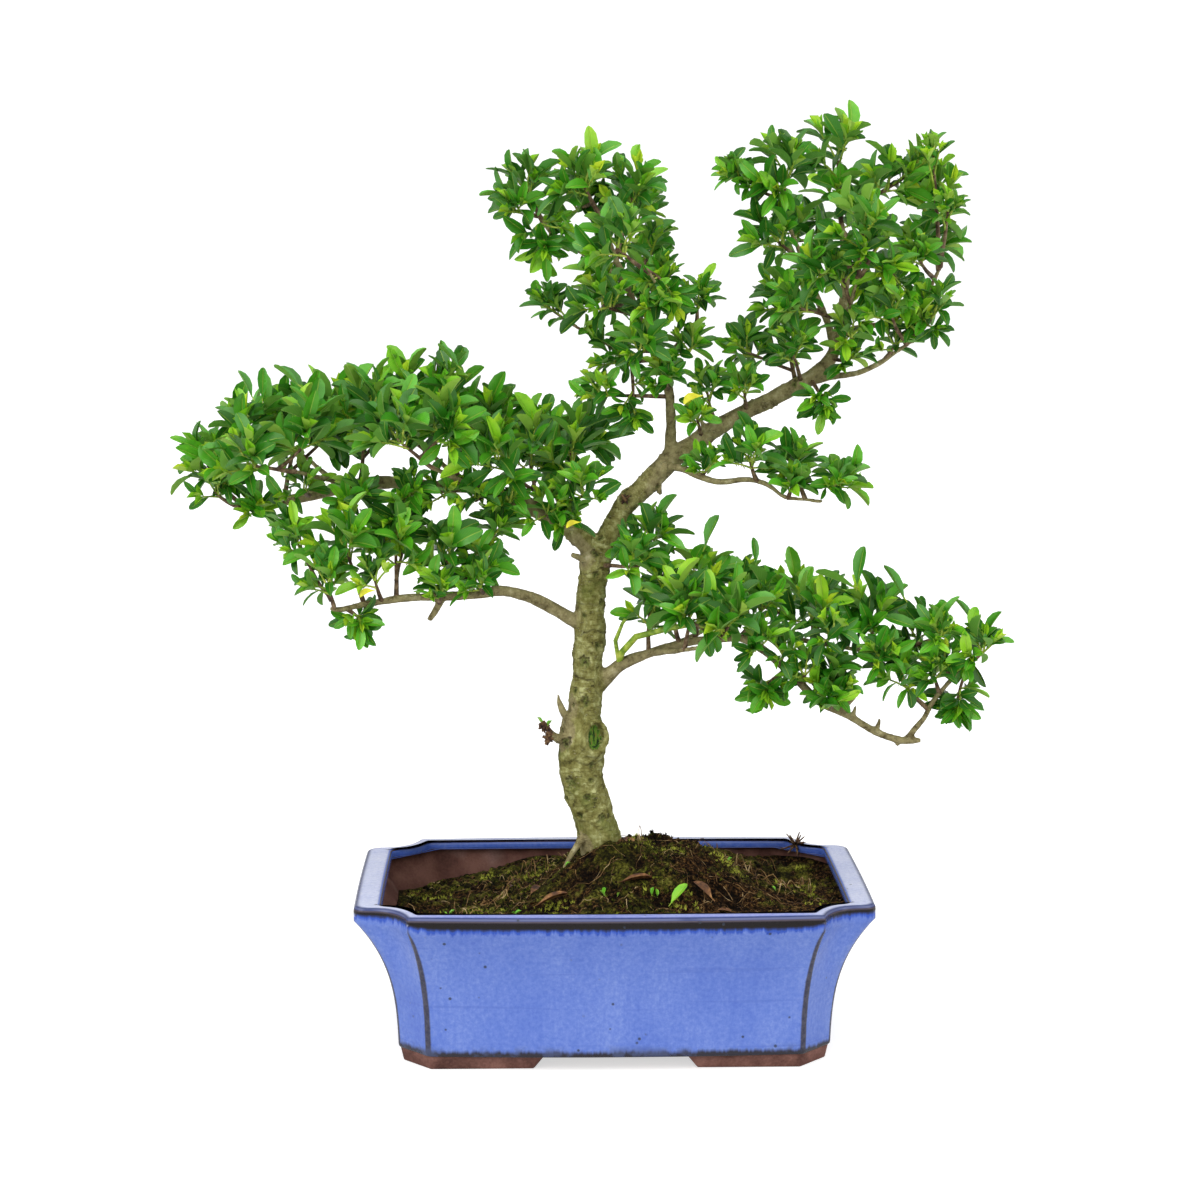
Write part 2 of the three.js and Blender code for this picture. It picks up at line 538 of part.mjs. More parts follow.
function limbSolid(name, extra = 0) {
  const [sides, ...rings] = LIMBS[name];
  return tube(limbPath(name), rings.map((ring) => ring[3] + extra), sides);
}

// The callus that has grown round an old pruning cut
function scarSolid() {
  const ring = new THREE.TorusGeometry(SCAR.width / 2, SCAR.ring, 5, 10);
  ring.scale(1, SCAR.height / SCAR.width, 1);
  ring.rotateX(Math.PI / 2);
  ring.rotateZ(degToRad(24));
  ring.translate(...SCAR.middle);
  return solidOf(ring);
}

function woodSolid() {
  const limbs = Object.keys(LIMBS).map((name) => limbSolid(name));
  return largestPiece(wasm.Manifold.union([...limbs, scarSolid()]));
}

// Soil

// Height of the soil's top: low at the left end, with a mound round the trunk and to its right
function soilHeight(x, y) {
  const rise = THREE.MathUtils.smoothstep(x, SOIL_RISE_START, SOIL_RISE_END);
  const across = (x - SOIL_MOUND_MIDDLE[0]) / SOIL_MOUND_REACH[0];
  const back = (y - SOIL_MOUND_MIDDLE[1]) / SOIL_MOUND_REACH[1];
  const spread = across ** 2 + back ** 2;
  const bumps = 0.9 * Math.sin(x / 9 + y / 14) + 0.7 * Math.sin(x / 17 - y / 7);
  return SOIL_LOW + SOIL_RISE * rise + SOIL_MOUND * Math.exp(-spread * spread) + bumps;
}

// Where the soil's edge meets the wall, a gap away from it
function soilEdge() {
  const [, , lower, upper] = cavityRings(GAP);
  return lower.map((point, k) => {
    const edge = point.clone();
    for (let step = 0; step < 8; step += 1) {
      const share = (soilHeight(edge.x, edge.y) - point.z) / (upper[k].z - point.z);
      edge.lerpVectors(point, upper[k], share);
    }
    return edge;
  });
}

function soilSolid() {
  const [floor, ...walls] = cavityRings(GAP);
  floor.forEach((point) => point.setZ(FLOOR_TOP + GAP));
  const edge = soilEdge();
  const topRing = (share) => edge.map((point) => {
    const x = lerp(SOIL_CENTRE[0], point.x, share);
    const y = lerp(SOIL_CENTRE[1], point.y, share);
    return new THREE.Vector3(x, y, soilHeight(x, y));
  });
  const middle = new THREE.Vector3(...SOIL_CENTRE, soilHeight(...SOIL_CENTRE));
  const body = solidOf(loft([
    floor, ...walls.slice(0, -1), edge, ...SOIL_RING_SHARES.map(topRing), [middle],
  ]));
  const pockets = [-1, 1].map((side) => {
    const width = DRAIN_MESH_SIDE + 2 * GAP;
    const pocket = new THREE.BoxGeometry(width, width, 2 * DRAIN_MESH_THICKNESS);
    pocket.translate(side * DRAIN_SPACING / 2, 0, FLOOR_TOP + 2 * GAP);
    return solidOf(pocket);
  });
  const roots = [limbSolid("trunk", GAP), limbSolid("surface_root", GAP)];
  return largestPiece(body.subtract(wasm.Manifold.union([...pockets, ...roots])));
}

// Leaves

// Sections of a blade, each with a flat upper edge pair and a keel below, and then its tip
function bladeRings({ root, along, face, length, width, arch }) {
  const side = face.clone().cross(along);
  const middleAt = (share) => root.clone()
    .addScaledVector(along, share * length)
    .addScaledVector(face, length * arch * (share - TIP_DROOP * share ** 2));
  const rings = LEAF_SECTIONS.map(([share, breadth, keel]) => {
    const middle = middleAt(share);
    return [
      middle.clone().addScaledVector(side, breadth * width / 2),
      middle.clone().addScaledVector(side, -breadth * width / 2),
      middle.clone().addScaledVector(face, -keel),
    ];
  });
  return [...rings, [middleAt(1)]];
}

// Leaves set round a straight shoot, the youngest at its tip
function leavesOn(from, tip, scale, random) {
  const shoot = tip.clone().sub(from).normalize();
  const across = shoot.clone().cross(new THREE.Vector3(0.2, 0.97, 0.1)).normalize();
  const around = shoot.clone().cross(across);
  const spin = random() * 2 * Math.PI;
  return Array.from({ length: SHOOT_LEAVES }, (_, k) => {
    const down = k / (SHOOT_LEAVES - 1);
    return {
      shoot,
      across,
      around,
      turn: spin + k * GOLDEN_TURN,
      open: degToRad(lerp(YOUNG_OPEN, OLD_OPEN, down) + (random() - 0.5) * OPEN_SPREAD),
      length: LEAF_LENGTH * scale * lerp(LEAF_LEAST, LEAF_MOST, random()),
      slender: LEAF_SLENDER * lerp(0.88, 1.12, random()),
      arch: lerp(LEAST_ARCH, MOST_ARCH, random()),
    };
  });
}

// The heading of a planned leaf, and the side that its upper face looks to
function leafPose({ shoot, across, around, turn, open }, { twist, spread }) {
  const outward = across.clone().multiplyScalar(Math.cos(turn + twist))
    .addScaledVector(around, Math.sin(turn + twist));
  const along = shoot.clone().multiplyScalar(Math.cos(open + spread))
    .addScaledVector(outward, Math.sin(open + spread))
    .addScaledVector(UP, 0.12)
    .normalize();
  const face = shoot.clone().multiplyScalar(0.6).addScaledVector(UP, 0.4).projectOnPlane(along).normalize();
  return { along, face };
}

// Where the stems, shoots and leaves of a spray are, before anything is built
function sprayPlan(number, limb, share, ...crowns) {
  const random = randomFrom(4001 + 97 * number);
  const limbCurve = new THREE.CatmullRomCurve3(limbPath(limb), false, "centripetal");
  const foot = limbCurve.getPoint(share);
  const stems = [];
  for (const [x, y, z, reach] of crowns) {
    const hub = new THREE.Vector3(x, y, z - HUB_DROP * reach);
    const start = stems.length ? stems[0].curve.getPoint(FORK_SHARES[stems.length - 1]) : foot;
    const span = hub.clone().sub(start);
    const middle = start.clone().lerp(hub, 0.5).add(new THREE.Vector3(0.1 * span.x, 0.1 * span.y, 0));
    const curve = new THREE.QuadraticBezierCurve3(start, middle, hub);
    const hanging = span.z < -HANGING_SHARE * span.length();
    const upward = UP.clone().multiplyScalar(hanging ? -1 : 1);
    const heading = random() * 2 * Math.PI;
    const scale = clamp(reach / FULL_REACH, 0.7, 1);
    const shoots = Array.from({ length: SHOOTS }, (_, k) => {
      const down = k / (SHOOTS - 1);
      const turn = heading + k * GOLDEN_TURN + (random() - 0.5) * 0.5;
      const lift = degToRad(lerp(FIRST_LIFT, LAST_LIFT, down) + (random() - 0.5) * LIFT_SPREAD);
      const distance = reach * lerp(NEAR_TIP, FAR_TIP, random());
      const offset = new THREE.Vector3(Math.cos(turn), Math.sin(turn), 0)
        .multiplyScalar(Math.cos(lift)).addScaledVector(upward, Math.sin(lift));
      const tip = hub.clone().addScaledVector(offset, distance);
      const from = curve.getPoint(lerp(1, SHOOT_SHARE, 2 * down));
      return { from, tip, leaves: leavesOn(from, tip, scale, random) };
    });
    stems.push({ curve, shoots, reach, along: limbCurve.getTangent(share) });
  }
  return stems;
}

// What is already built, which later leaves and shoots keep clear of
const built = [];

function remember(solid, owner) {
  built.push({ solid, owner, box: solid.boundingBox() });
}

function boxesApart(a, b) {
  return [0, 1, 2].some((i) => a.min[i] > b.max[i] + GAP || b.min[i] > a.max[i] + GAP);
}

// Whether a solid keeps its gap to other nodes, and only touches the pieces of its own node
function isClear(solid, owner) {
  const box = solid.boundingBox();
  return built.every((other) => {
    if (boxesApart(box, other.box)) return true;
    if (other.owner === owner) return solid.intersect(other.solid).volume() < OWN_CROSSING;
    return solid.minGap(other.solid, 2 * GAP) > GAP;
  });
}

// Growing skins: each new piece continues from one triangle of the skin, so the whole stays one closed body

// A ring of three points round a middle, with one point towards a side
function stemRing(middle, along, towards, radius) {
  const normal = towards.clone().projectOnPlane(along).normalize();
  const side = along.clone().normalize().cross(normal);
  return [0, 1, 2].map((i) => {
    const turn = (2 * Math.PI * i) / 3;
    return middle.clone()
      .addScaledVector(normal, radius * Math.cos(turn))
      .addScaledVector(side, radius * Math.sin(turn));
  });
}

// The same ring of points, starting where it lies straightest above the ring before it
function aligned(ring, before) {
  if (ring.length < 3) return ring;
  const turned = (shift) => ring.map((_, i) => ring[(i + shift) % 3]);
  const spread = (points) => points.reduce((sum, point, i) => sum + point.distanceTo(before[i]), 0);
  return [0, 1, 2].map(turned).sort((a, b) => spread(a) - spread(b))[0];
}

function startGrowth(name, ring) {
  return { name, points: [...ring], faces: [[0, 2, 1]] };
}

function normalOf(points, face) {
  const [p, q, r] = face.map((i) => points[i]);
  return q.clone().sub(p).cross(r.clone().sub(p)).normalize();
}

// Whether every fold along the edges of the new faces is wide enough for a sound solid
function foldsOpen(points, faces, fresh) {
  const limit = -Math.cos(degToRad(LEAST_FOLD));
  return fresh.every((face) => {
    const normal = normalOf(points, face);
    return faces.every((other) => {
      const shared = other.filter((i) => face.includes(i)).length;
      return other === face || shared < 2 || normal.dot(normalOf(points, other)) > limit;
    });
  });
}

// Triangles between two rings of three points, or up to a tip, each pair across its shorter diagonal
function bandFaces(points, lower, upper) {
  const apart = (i, j) => points[i].distanceTo(points[j]);
  return [0, 1, 2].flatMap((i) => {
    const [a, b, c, d] = [lower[i], lower[(i + 1) % 3], upper[(i + 1) % 3], upper[i]];
    if (c === d) return [[a, b, c]];
    return apart(a, c) < apart(b, d) ? [[a, b, c], [a, c, d]] : [[a, b, d], [b, c, d]];
  });
}

// Grows rings of points from a face of the skin; returns each band's faces and the open end, or null
function grow(growth, face, rings) {
  const rows = [face.map((i) => growth.points[i])];
  for (const ring of rings) rows.push(aligned(ring, rows[rows.length - 1]));
  const points = [...growth.points];
  const bands = [];
  let lower = face;
  for (const row of rows.slice(1)) {
    const start = points.length;
    points.push(...row);
    const upper = row.length === 3 ? [start, start + 1, start + 2] : [start, start, start];
    bands.push(bandFaces(points, lower, upper));
    lower = upper;
  }
  const cap = lower[0] === lower[1] ? [] : [lower];
  const fresh = [...bands.flat(), ...cap];
  const faces = [...growth.faces.filter((other) => other !== face), ...fresh];
  if (!foldsOpen(points, faces, fresh)) return null;
  const [a, b, c] = face;
  const solid = solidOf(grownGeometry({ points, faces: [[a, c, b], ...fresh] }));
  if (!isClear(solid, growth.name)) return null;
  remember(solid, growth.name);
  Object.assign(growth, { points, faces });
  return { bands, end: lower };
}

// The free faces among these that look in a direction, the nearest to it first
function facesTowards(growth, faces, direction) {
  const share = (face) => normalOf(growth.points, face).dot(direction);
  return faces.filter((face) => growth.faces.includes(face) && share(face) > LEAST_FACING)
    .sort((a, b) => share(b) - share(a));
}

// Grows from the first of these faces that has room
function growOnOne(growth, faces, direction, ringsFrom) {
  for (const face of facesTowards(growth, faces, direction)) {
    const grown = grow(growth, face, ringsFrom(face));
    if (grown) return grown;
  }
  return null;
}

function middleOf(growth, face) {
  const sum = face.reduce((total, i) => total.add(growth.points[i]), new THREE.Vector3());
  return sum.divideScalar(3);
}

// The side that a face's first corner lies on
function cornerSide(growth, face) {
  return growth.points[face[0]].clone().sub(middleOf(growth, face));
}

function grownGeometry({ points, faces }) {
  const geometry = new THREE.BufferGeometry();
  geometry.setAttribute("position",
    new THREE.Float32BufferAttribute(points.flatMap((point) => point.toArray()), 3));
  geometry.setIndex(faces.flat());
  return geometry;
}

// Rings of a stem: a short joint band wherever a fork or a side shoot leaves it, and one at its tip
function stemRings(curve, tip, shares, towards) {
  const half = JOINT_LENGTH / 2 / curve.getLength();
  const rings = shares.flatMap((share) => [share - half, share + half]).map((share) => {
    const radius = lerp(STEM_RADIUS, STEM_TIP_RADIUS, share);
    return stemRing(curve.getPoint(share), curve.getTangent(share), towards, radius);
  });
  return [...rings, ...tipRings(curve.getPoint(SHOOT_SHARE), tip, towards)];
}

// The short band at the end of a shoot
function tipRings(from, tip, towards) {
  const along = tip.clone().sub(from).normalize();
  const below = tip.clone().addScaledVector(along, -JOINT_LENGTH);
  return [below, tip].map((middle) => stemRing(middle, along, towards, SHOOT_RADIUS));
}

// Ways for a stem to leave its limb: straight at its aim, along the limb, or between that and a side
function waysOut(straight, along) {
  const side = straight.clone().projectOnPlane(along).normalize();
  const across = along.clone().cross(side);
  const mixes = [[0, 1, 0], [0.6, 1, 0], [0.3, 1, 0.6], [0.3, 1, -0.6], [1.2, 1, 0], [0, 1, 1], [0, 1, -1]];
  return [straight, along, ...mixes.map(([u, v, w]) => along.clone().multiplyScalar(u)
    .addScaledVector(side, v).addScaledVector(across, w).normalize())];
}

// The first stem of a spray stands flat on the wood's surface, with a short neck where it needs one
function seatedStem(name, { curve, along, shoots }, forks, woodMesh) {
  const start = curve.getPoint(0);
  const aim = curve.getPoint(FORK_SHARES[0]);
  const shares = [...FORK_SHARES.slice(0, forks), SHOOT_SHARE];
  const sideways = curve.getTangent(0).cross(new THREE.Vector3(0, 1, 0.2)).normalize();
  const rings = stemRings(curve, shoots[0].tip, shares, sideways);
  for (const way of waysOut(aim.clone().sub(start).normalize(), along)) {
    const hit = new THREE.Raycaster(start, way).intersectObject(woodMesh)[0];
    const outward = hit.face.normal;
    const seat = hit.point.clone().addScaledVector(outward, SEAT_GAP);
    const towards = Math.abs(outward.dot(sideways)) > 0.9 ? UP : sideways;
    const foot = stemRing(seat, outward, towards, STEM_RADIUS);
    const neckMiddle = seat.clone().addScaledVector(outward, NECK_LENGTH);
    const leaning = outward.clone().add(aim.clone().sub(neckMiddle).normalize());
    const neck = stemRing(neckMiddle, leaning, towards, STEM_RADIUS);
    for (const path of [rings, [neck, ...rings]]) {
      const growth = startGrowth(name, foot);
      const grown = grow(growth, [0, 1, 2], path);
      if (!grown) continue;
      const bands = grown.bands.slice(path.length - rings.length);
      return { growth, grown: { ...grown, bands } };
    }
  }
  throw new Error(`the stem of ${name} crosses something`);
}

function growLeaf(growth, sockets, leaf) {
  for (const change of LEAF_CHANGES) {
    const { along, face } = leafPose(leaf, change);
    const length = leaf.length * change.shrink;
    const ringsFrom = (socket) => bladeRings({
      root: middleOf(growth, socket), along, face, length, width: length * leaf.slender, arch: leaf.arch,
    });
    if (growOnOne(growth, sockets, along, ringsFrom)) return true;
  }
  return false;
}

// Fallen leaves

// A dropped leaf lies on the highest soil under it
function fallenLeafSolid([x, y, heading, length], soil) {
  const along = new THREE.Vector3(Math.cos(degToRad(heading)), Math.sin(degToRad(heading)), 0);
  const middle = new THREE.Vector3(x, y, 0);
  const heightAt = (point) => soilHeight(point.x, point.y);
  const ends = [-0.4, 0.4].map((share) => middle.clone().addScaledVector(along, share * length));
  along.z = (heightAt(ends[1]) - heightAt(ends[0])) / (0.8 * length);
  along.normalize();
  const side = UP.clone().cross(along).setLength(0.2 * length);
  const slope = heightAt(middle.clone().add(side)) - heightAt(middle.clone().sub(side));
  side.z = slope / 2;
  const face = along.clone().cross(side).normalize();
  const root = middle.clone().addScaledVector(along, -length / 2);
  root.z = heightAt(middle) - along.z * length / 2 + FALLEN_START;
  const end = stemRing(root, along, face.clone().negate(), FALLEN_ROOT_RADIUS);
  const width = LEAF_SLENDER * length;
  const rings = bladeRings({ root, along, face, length, width, arch: FALLEN_ARCH });
  const blade = solidOf(loft([end, ...rings.map((ring) => aligned(ring, end))]));
  const drop = blade.minGap(soil, 2 * FALLEN_START) - GAP;
  return blade.translate([0, 0, -drop]);
}

// The whole plant in its pot

const pot = potSolid();
const wood = woodSolid();
const soil = soilSolid();
const woodMesh = new THREE.Mesh(geometryOf(wood), new THREE.MeshBasicMaterial({ side: THREE.DoubleSide }));
remember(pot, "pot");
remember(wood, "wood");
remember(soil, "soil");

// Stems first, then shoots, then leaves, so that no leaf is in a stem's way
const sprays = Object.entries(SPRAYS).map(([key, row], number) => {
  const name = `spray_${key}`;
  const plan = sprayPlan(number, ...row);
  const { growth, grown } = seatedStem(name, plan[0], plan.length - 1, woodMesh);
  const crownOf = ({ shoots, reach }, { bands, end }) => {
    const [joint, , band] = bands.slice(-3);
    const tops = [{ leaves: shoots[0].leaves, sockets: [...band, end] }];
    return { shoots, joint, tops, wanted: reach < SMALL_CROWN ? 1 : BUILT_SIDE_SHOOTS };
  };
  const crowns = [crownOf(plan[0], grown)];
  plan.slice(1).forEach((stem, k) => {
    const { curve, shoots } = stem;
    const side = growOnOne(growth, grown.bands[2 * k + 1], curve.getTangent(0), (face) => {
      return stemRings(curve, shoots[0].tip, [SHOOT_SHARE], cornerSide(growth, face));
    });
    if (side) crowns.push(crownOf(stem, side));
  });
  return { growth, crowns };
});

for (const { growth, crowns } of sprays) {
  for (const { shoots, joint, tops, wanted } of crowns) {
    for (const { from, tip, leaves } of SIDE_SHOOTS.map((k) => shoots[k])) {
      if (tops.length > wanted) break;
      const heading = tip.clone().sub(from).normalize();
      const grown = growOnOne(growth, joint, heading, (face) => {
        return tipRings(middleOf(growth, face), tip, cornerSide(growth, face));
      });
      if (grown) tops.push({ leaves, sockets: [...grown.bands[1], grown.end] });
    }
  }
}

for (const { growth, crowns } of sprays) {
  for (const { tops } of crowns) {
    tops.forEach(({ leaves, sockets }, k) => {
      const wanted = k === 0 ? BUILT_TOP_LEAVES : BUILT_SIDE_LEAVES;
      let count = 0;
      for (const leaf of leaves) {
        if (count < wanted && growLeaf(growth, sockets, leaf)) count += 1;
      }
    });
  }
}

addNode("pot", geometryOf(pot), MATERIALS.glaze);
addNode("drain_mesh_left", geometryOf(drainMeshSolid(-DRAIN_SPACING / 2)), MATERIALS.plastic);
addNode("drain_mesh_right", geometryOf(drainMeshSolid(DRAIN_SPACING / 2)), MATERIALS.plastic);
addNode("soil", geometryOf(soil), MATERIALS.soil);
addNode("trunk_and_branches", geometryOf(wood), MATERIALS.bark);
sprays.forEach(({ growth }) => addNode(growth.name, grownGeometry(growth), MATERIALS.leaf));
FALLEN_LEAVES.forEach((row, k) => {
  addNode(`fallen_leaf_${k + 1}`, geometryOf(fallenLeafSolid(row, soil)), MATERIALS[row[4]]);
});

// The origin goes to the middle of the plant's footprint
const box = new THREE.Box3().setFromObject(group);
const centre = box.getCenter(new THREE.Vector3());
group.position.set(-centre.x, -centre.y, -box.min.z);

export default group;
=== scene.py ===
# %% [markdown]
# # A Japanese holly bonsai in a blue glazed pot
#
# A bonsai is a small tree grown in a low pot. This lesson dresses a plain model of one: the pot gets its
# glaze, the soil its moss and roots, the wood its bark, and every shoot its leaves.
#
# The plain model comes in first, as a frame that stays where it is, at its own size.

# %% Load the frame
import math
import random

import bmesh
import bpy
from mathutils import Matrix, Vector, kdtree, noise


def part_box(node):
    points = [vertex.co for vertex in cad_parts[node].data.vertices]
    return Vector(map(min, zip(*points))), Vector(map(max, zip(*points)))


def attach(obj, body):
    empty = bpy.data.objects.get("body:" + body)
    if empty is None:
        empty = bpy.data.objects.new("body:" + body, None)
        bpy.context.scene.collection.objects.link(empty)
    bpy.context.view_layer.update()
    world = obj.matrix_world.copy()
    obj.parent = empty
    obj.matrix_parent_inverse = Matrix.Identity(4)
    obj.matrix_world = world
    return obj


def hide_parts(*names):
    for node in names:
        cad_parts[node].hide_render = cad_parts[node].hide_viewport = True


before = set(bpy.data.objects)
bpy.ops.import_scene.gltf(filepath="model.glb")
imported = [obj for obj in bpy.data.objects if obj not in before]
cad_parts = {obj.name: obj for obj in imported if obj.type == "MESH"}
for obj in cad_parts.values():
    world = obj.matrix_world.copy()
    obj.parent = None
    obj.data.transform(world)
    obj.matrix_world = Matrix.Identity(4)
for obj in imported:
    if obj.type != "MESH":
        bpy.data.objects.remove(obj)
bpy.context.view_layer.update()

noise.seed_set(7)  # without a number, the noise that shifts points starts from the clock

# %% [markdown]
# ## Where everything goes
#
# All shapes here are drawn in millimetres, with the middle of the pot's foot at zero. One matrix then takes
# a finished shape to metres and to its place in the frame. Keeping that step in one place means that no
# shape has to carry the frame's own offset in its numbers.

# %% Millimetres to the frame
pot_low, pot_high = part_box("pot")
PLACE = (
    Matrix.Translation(((pot_low.x + pot_high.x) / 2, (pot_low.y + pot_high.y) / 2, 0))
    @ Matrix.Scale(0.001, 4)
)
UP = Vector((0, 0, 1))
FRONT = Vector((0, -1, 0))


def lerp(a, b, share):
    return a + (b - a) * share


def smoothstep(value, low, high):
    share = min(max((value - low) / (high - low), 0), 1)
    return share * share * (3 - 2 * share)


print("the pot's middle is at", PLACE.translation)

# %% [markdown]
# ## Camera, floor and light
#
# The plant is seen from a little above its rim, from about six pot lengths away, so its sides hardly
# narrow. A long lens does that. A camera tilts about its own X axis: 90 degrees looks at the horizon.
#
# The light is a bright white studio: a white sky, which the camera sees brighter than the light it sheds,
# large soft panels at both sides and a broad soft sun from above. A large panel gives the glaze wide soft
# reflections and hardly any shadow on the floor.

# %% The camera
camera = bpy.data.objects.new("camera", bpy.data.cameras.new("camera"))
bpy.context.scene.collection.objects.link(camera)
camera.location = PLACE @ Vector((-49.5, -1757, 495.6))
camera.rotation_euler = (math.radians(90 - 7.67), 0, math.radians(-1.39))
camera.data.lens = 90
camera.data.sensor_width = 36
camera.data.clip_start = 0.05
camera.data.clip_end = 60
bpy.context.scene.camera = camera
bpy.context.scene.view_settings.view_transform = "Standard"
bpy.context.scene.view_settings.look = "None"
print("camera at", camera.location)

# %% [markdown]
# ## Materials from sums
#
# A material is a graph of nodes. Written one by one, a dozen nodes hide the idea, so a small class wraps a
# socket that carries a number, and a plus or a minus on it adds the Math node. Every other node comes from
# one method of the material's own class.


# %% A number that varies over a surface
class Amount:
    def __init__(self, finish, socket):
        self.finish = finish
        self.socket = socket

    def math(self, operation, first, second=0.0):
        node = self.finish.node("ShaderNodeMath", {"operation": operation}, {0: first, 1: second})
        return Amount(self.finish, node.outputs[0])

    def __add__(self, other):
        return self.math("ADD", self, other)

    __radd__ = __add__

    def __sub__(self, other):
        return self.math("SUBTRACT", self, other)

    def __rsub__(self, other):
        return self.math("SUBTRACT", other, self)

    def __mul__(self, other):
        return self.math("MULTIPLY", self, other)

    __rmul__ = __mul__

    def __truediv__(self, other):
        return self.math("DIVIDE", self, other)

    def __abs__(self):
        return self.math("ABSOLUTE", self)

    def sine(self):
        return self.math("SINE", self)

    def rise(self, low, high):
        """0 below low, 1 above high, and a smooth step between them."""
        node = self.finish.node(
            "ShaderNodeMapRange",
            {"interpolation_type": "SMOOTHSTEP"},
            {"Value": self, "From Min": low, "From Max": high},
        )
        return Amount(self.finish, node.outputs[0])


# %% A material and its nodes
class Finish:
    def __init__(self, name):
        self.material = bpy.data.materials.new(name)
        self.material.use_nodes = True
        self.tree = self.material.node_tree
        self.shader = self.tree.nodes["Principled BSDF"]

    def dull(self, level):
        """Keeps only a share of a surface's usual plain reflection."""
        self.shader.inputs["Specular IOR Level"].default_value = level

    def node(self, kind, settings=None, inputs=None):
        """A new node; the stops of a ramp are pairs of a position and a colour's code."""
        node = self.tree.nodes.new(kind)
        for key, value in (settings or {}).items():
            if key == "stops":
                ramp = node.color_ramp
                while len(ramp.elements) < len(value):
                    ramp.elements.new(1)
                for element, (position, code) in zip(ramp.elements, value):
                    element.position = position
                    element.color = shade(code)
            else:
                setattr(node, key, value)
        for key, value in (inputs or {}).items():
            self.feed(node.inputs[key], value)
        return node

    def feed(self, socket, value):
        """Links what comes from a node, and sets a number, a vector or a colour's code."""
        if isinstance(value, Amount):
            value = value.socket
        if isinstance(value, bpy.types.NodeSocket):
            self.tree.links.new(value, socket)
        else:
            socket.default_value = shade(value) if isinstance(value, str) else value

    def set(self, **inputs):
        """Feeds the surface shader's own sockets."""
        for key, value in inputs.items():
            self.feed(self.shader.inputs[key.replace("_", " ")], value)

    def place(self, stretch=(1, 1, 1)):
        """The point on the object, in metres, stretched along its axes."""
        point = self.node("ShaderNodeTexCoord").outputs["Object"]
        return self.node("ShaderNodeMapping", None, {"Vector": point, "Scale": stretch}).outputs[0]

    def axis(self, name):
        point = self.node("ShaderNodeTexCoord").outputs["Object"]
        return Amount(self, self.node("ShaderNodeSeparateXYZ", None, {0: point}).outputs[name])

    def attribute(self, name):
        return Amount(self, self.node("ShaderNodeAttribute", {"attribute_name": name}).outputs["Fac"])

    def noise(self, scale, detail=3.0, rough=0.5, at=None):
        inputs = {"Vector": at or self.place(), "Scale": scale, "Detail": detail, "Roughness": rough}
        return Amount(self, self.node("ShaderNodeTexNoise", None, inputs).outputs["Fac"])

    def cells(self, scale, at=None):
        """The distance to the nearest of many scattered points."""
        inputs = {"Vector": at or self.place(), "Scale": scale}
        return Amount(self, self.node("ShaderNodeTexVoronoi", None, inputs).outputs["Distance"])

    def ramp(self, amount, stops):
        return self.node("ShaderNodeValToRGB", {"stops": stops}, {"Fac": amount}).outputs["Color"]

    def mix(self, share, first, second, blend="MIX"):
        settings = {"data_type": "RGBA", "blend_type": blend}
        return self.node("ShaderNodeMix", settings, {0: share, 6: first, 7: second}).outputs[2]

    def bump(self, height, depth):
        """A normal from a height of 0 to 1, with its depth in metres."""
        inputs = {"Height": height, "Distance": depth, "Strength": 1.0}
        return self.node("ShaderNodeBump", None, inputs).outputs["Normal"]


def shade(code):
    """A colour's code as a screen shows it, such as "7A8FDC", as the light that shaders work in."""
    parts = [int(code[i : i + 2], 16) / 255 for i in (0, 2, 4)]
    return (*[p / 12.92 if p <= 0.04045 else ((p + 0.055) / 1.055) ** 2.4 for p in parts], 1)


def cloudy_finish(name, scale, detail, rough, codes, roughness, depth):
    """A finish of one noise: its three colours, from the hollows to the bumps, and its relief."""
    finish = Finish(name)
    cloud = finish.noise(scale, detail, rough)
    finish.set(
        Base_Color=finish.ramp(cloud, list(zip((0.36, 0.5, 0.66), codes))),
        Roughness=roughness,
        Normal=finish.bump(cloud, depth),
    )
    return finish


# %% A finished piece
def add_piece(name, mesh, finishes, replaces=(), smooth=True):
    """Puts a mesh drawn in millimetres in the frame as a piece that rides on the plant, and prints it."""
    mesh.transform(PLACE)
    mesh.name = name
    for finish in finishes:
        mesh.materials.append(finish.material)
    mesh.polygons.foreach_set("use_smooth", [smooth] * len(mesh.polygons))
    piece = bpy.data.objects.new(name, mesh)
    bpy.context.scene.collection.objects.link(piece)
    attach(piece, "root")
    if replaces:
        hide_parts(*replaces)
    print(f"{name}: {triangles(piece)} triangles")
    return piece


def mesh_of(bm, name):
    mesh = bpy.data.meshes.new(name)
    bm.to_mesh(mesh)
    bm.free()
    return mesh


def triangles(*pieces):
    return sum(len(polygon.vertices) - 2 for piece in pieces for polygon in piece.data.polygons)


# %% The floor
floor_finish = Finish("floor_paper")
grain = floor_finish.noise(40, 4)
seen_straight = floor_finish.node("ShaderNodeLightPath").outputs["Is Camera Ray"]
floor_finish.set(
    Base_Color=floor_finish.ramp(grain, [(0.3, "CFCFCF"), (0.7, "D4D4D4")]),
    Roughness=0.9,
    Emission_Color=floor_finish.mix(seen_straight, (0, 0, 0, 1), (1, 1, 1, 1)),
)
floor_finish.shader.inputs["Emission Strength"].default_value = 0.6
floor_bm = bmesh.new()
bmesh.ops.create_grid(floor_bm, x_segments=8, y_segments=8, size=6)
floor_mesh = mesh_of(floor_bm, "floor")
floor_mesh.materials.append(floor_finish.material)
floor = bpy.data.objects.new("floor", floor_mesh)
bpy.context.scene.collection.objects.link(floor)


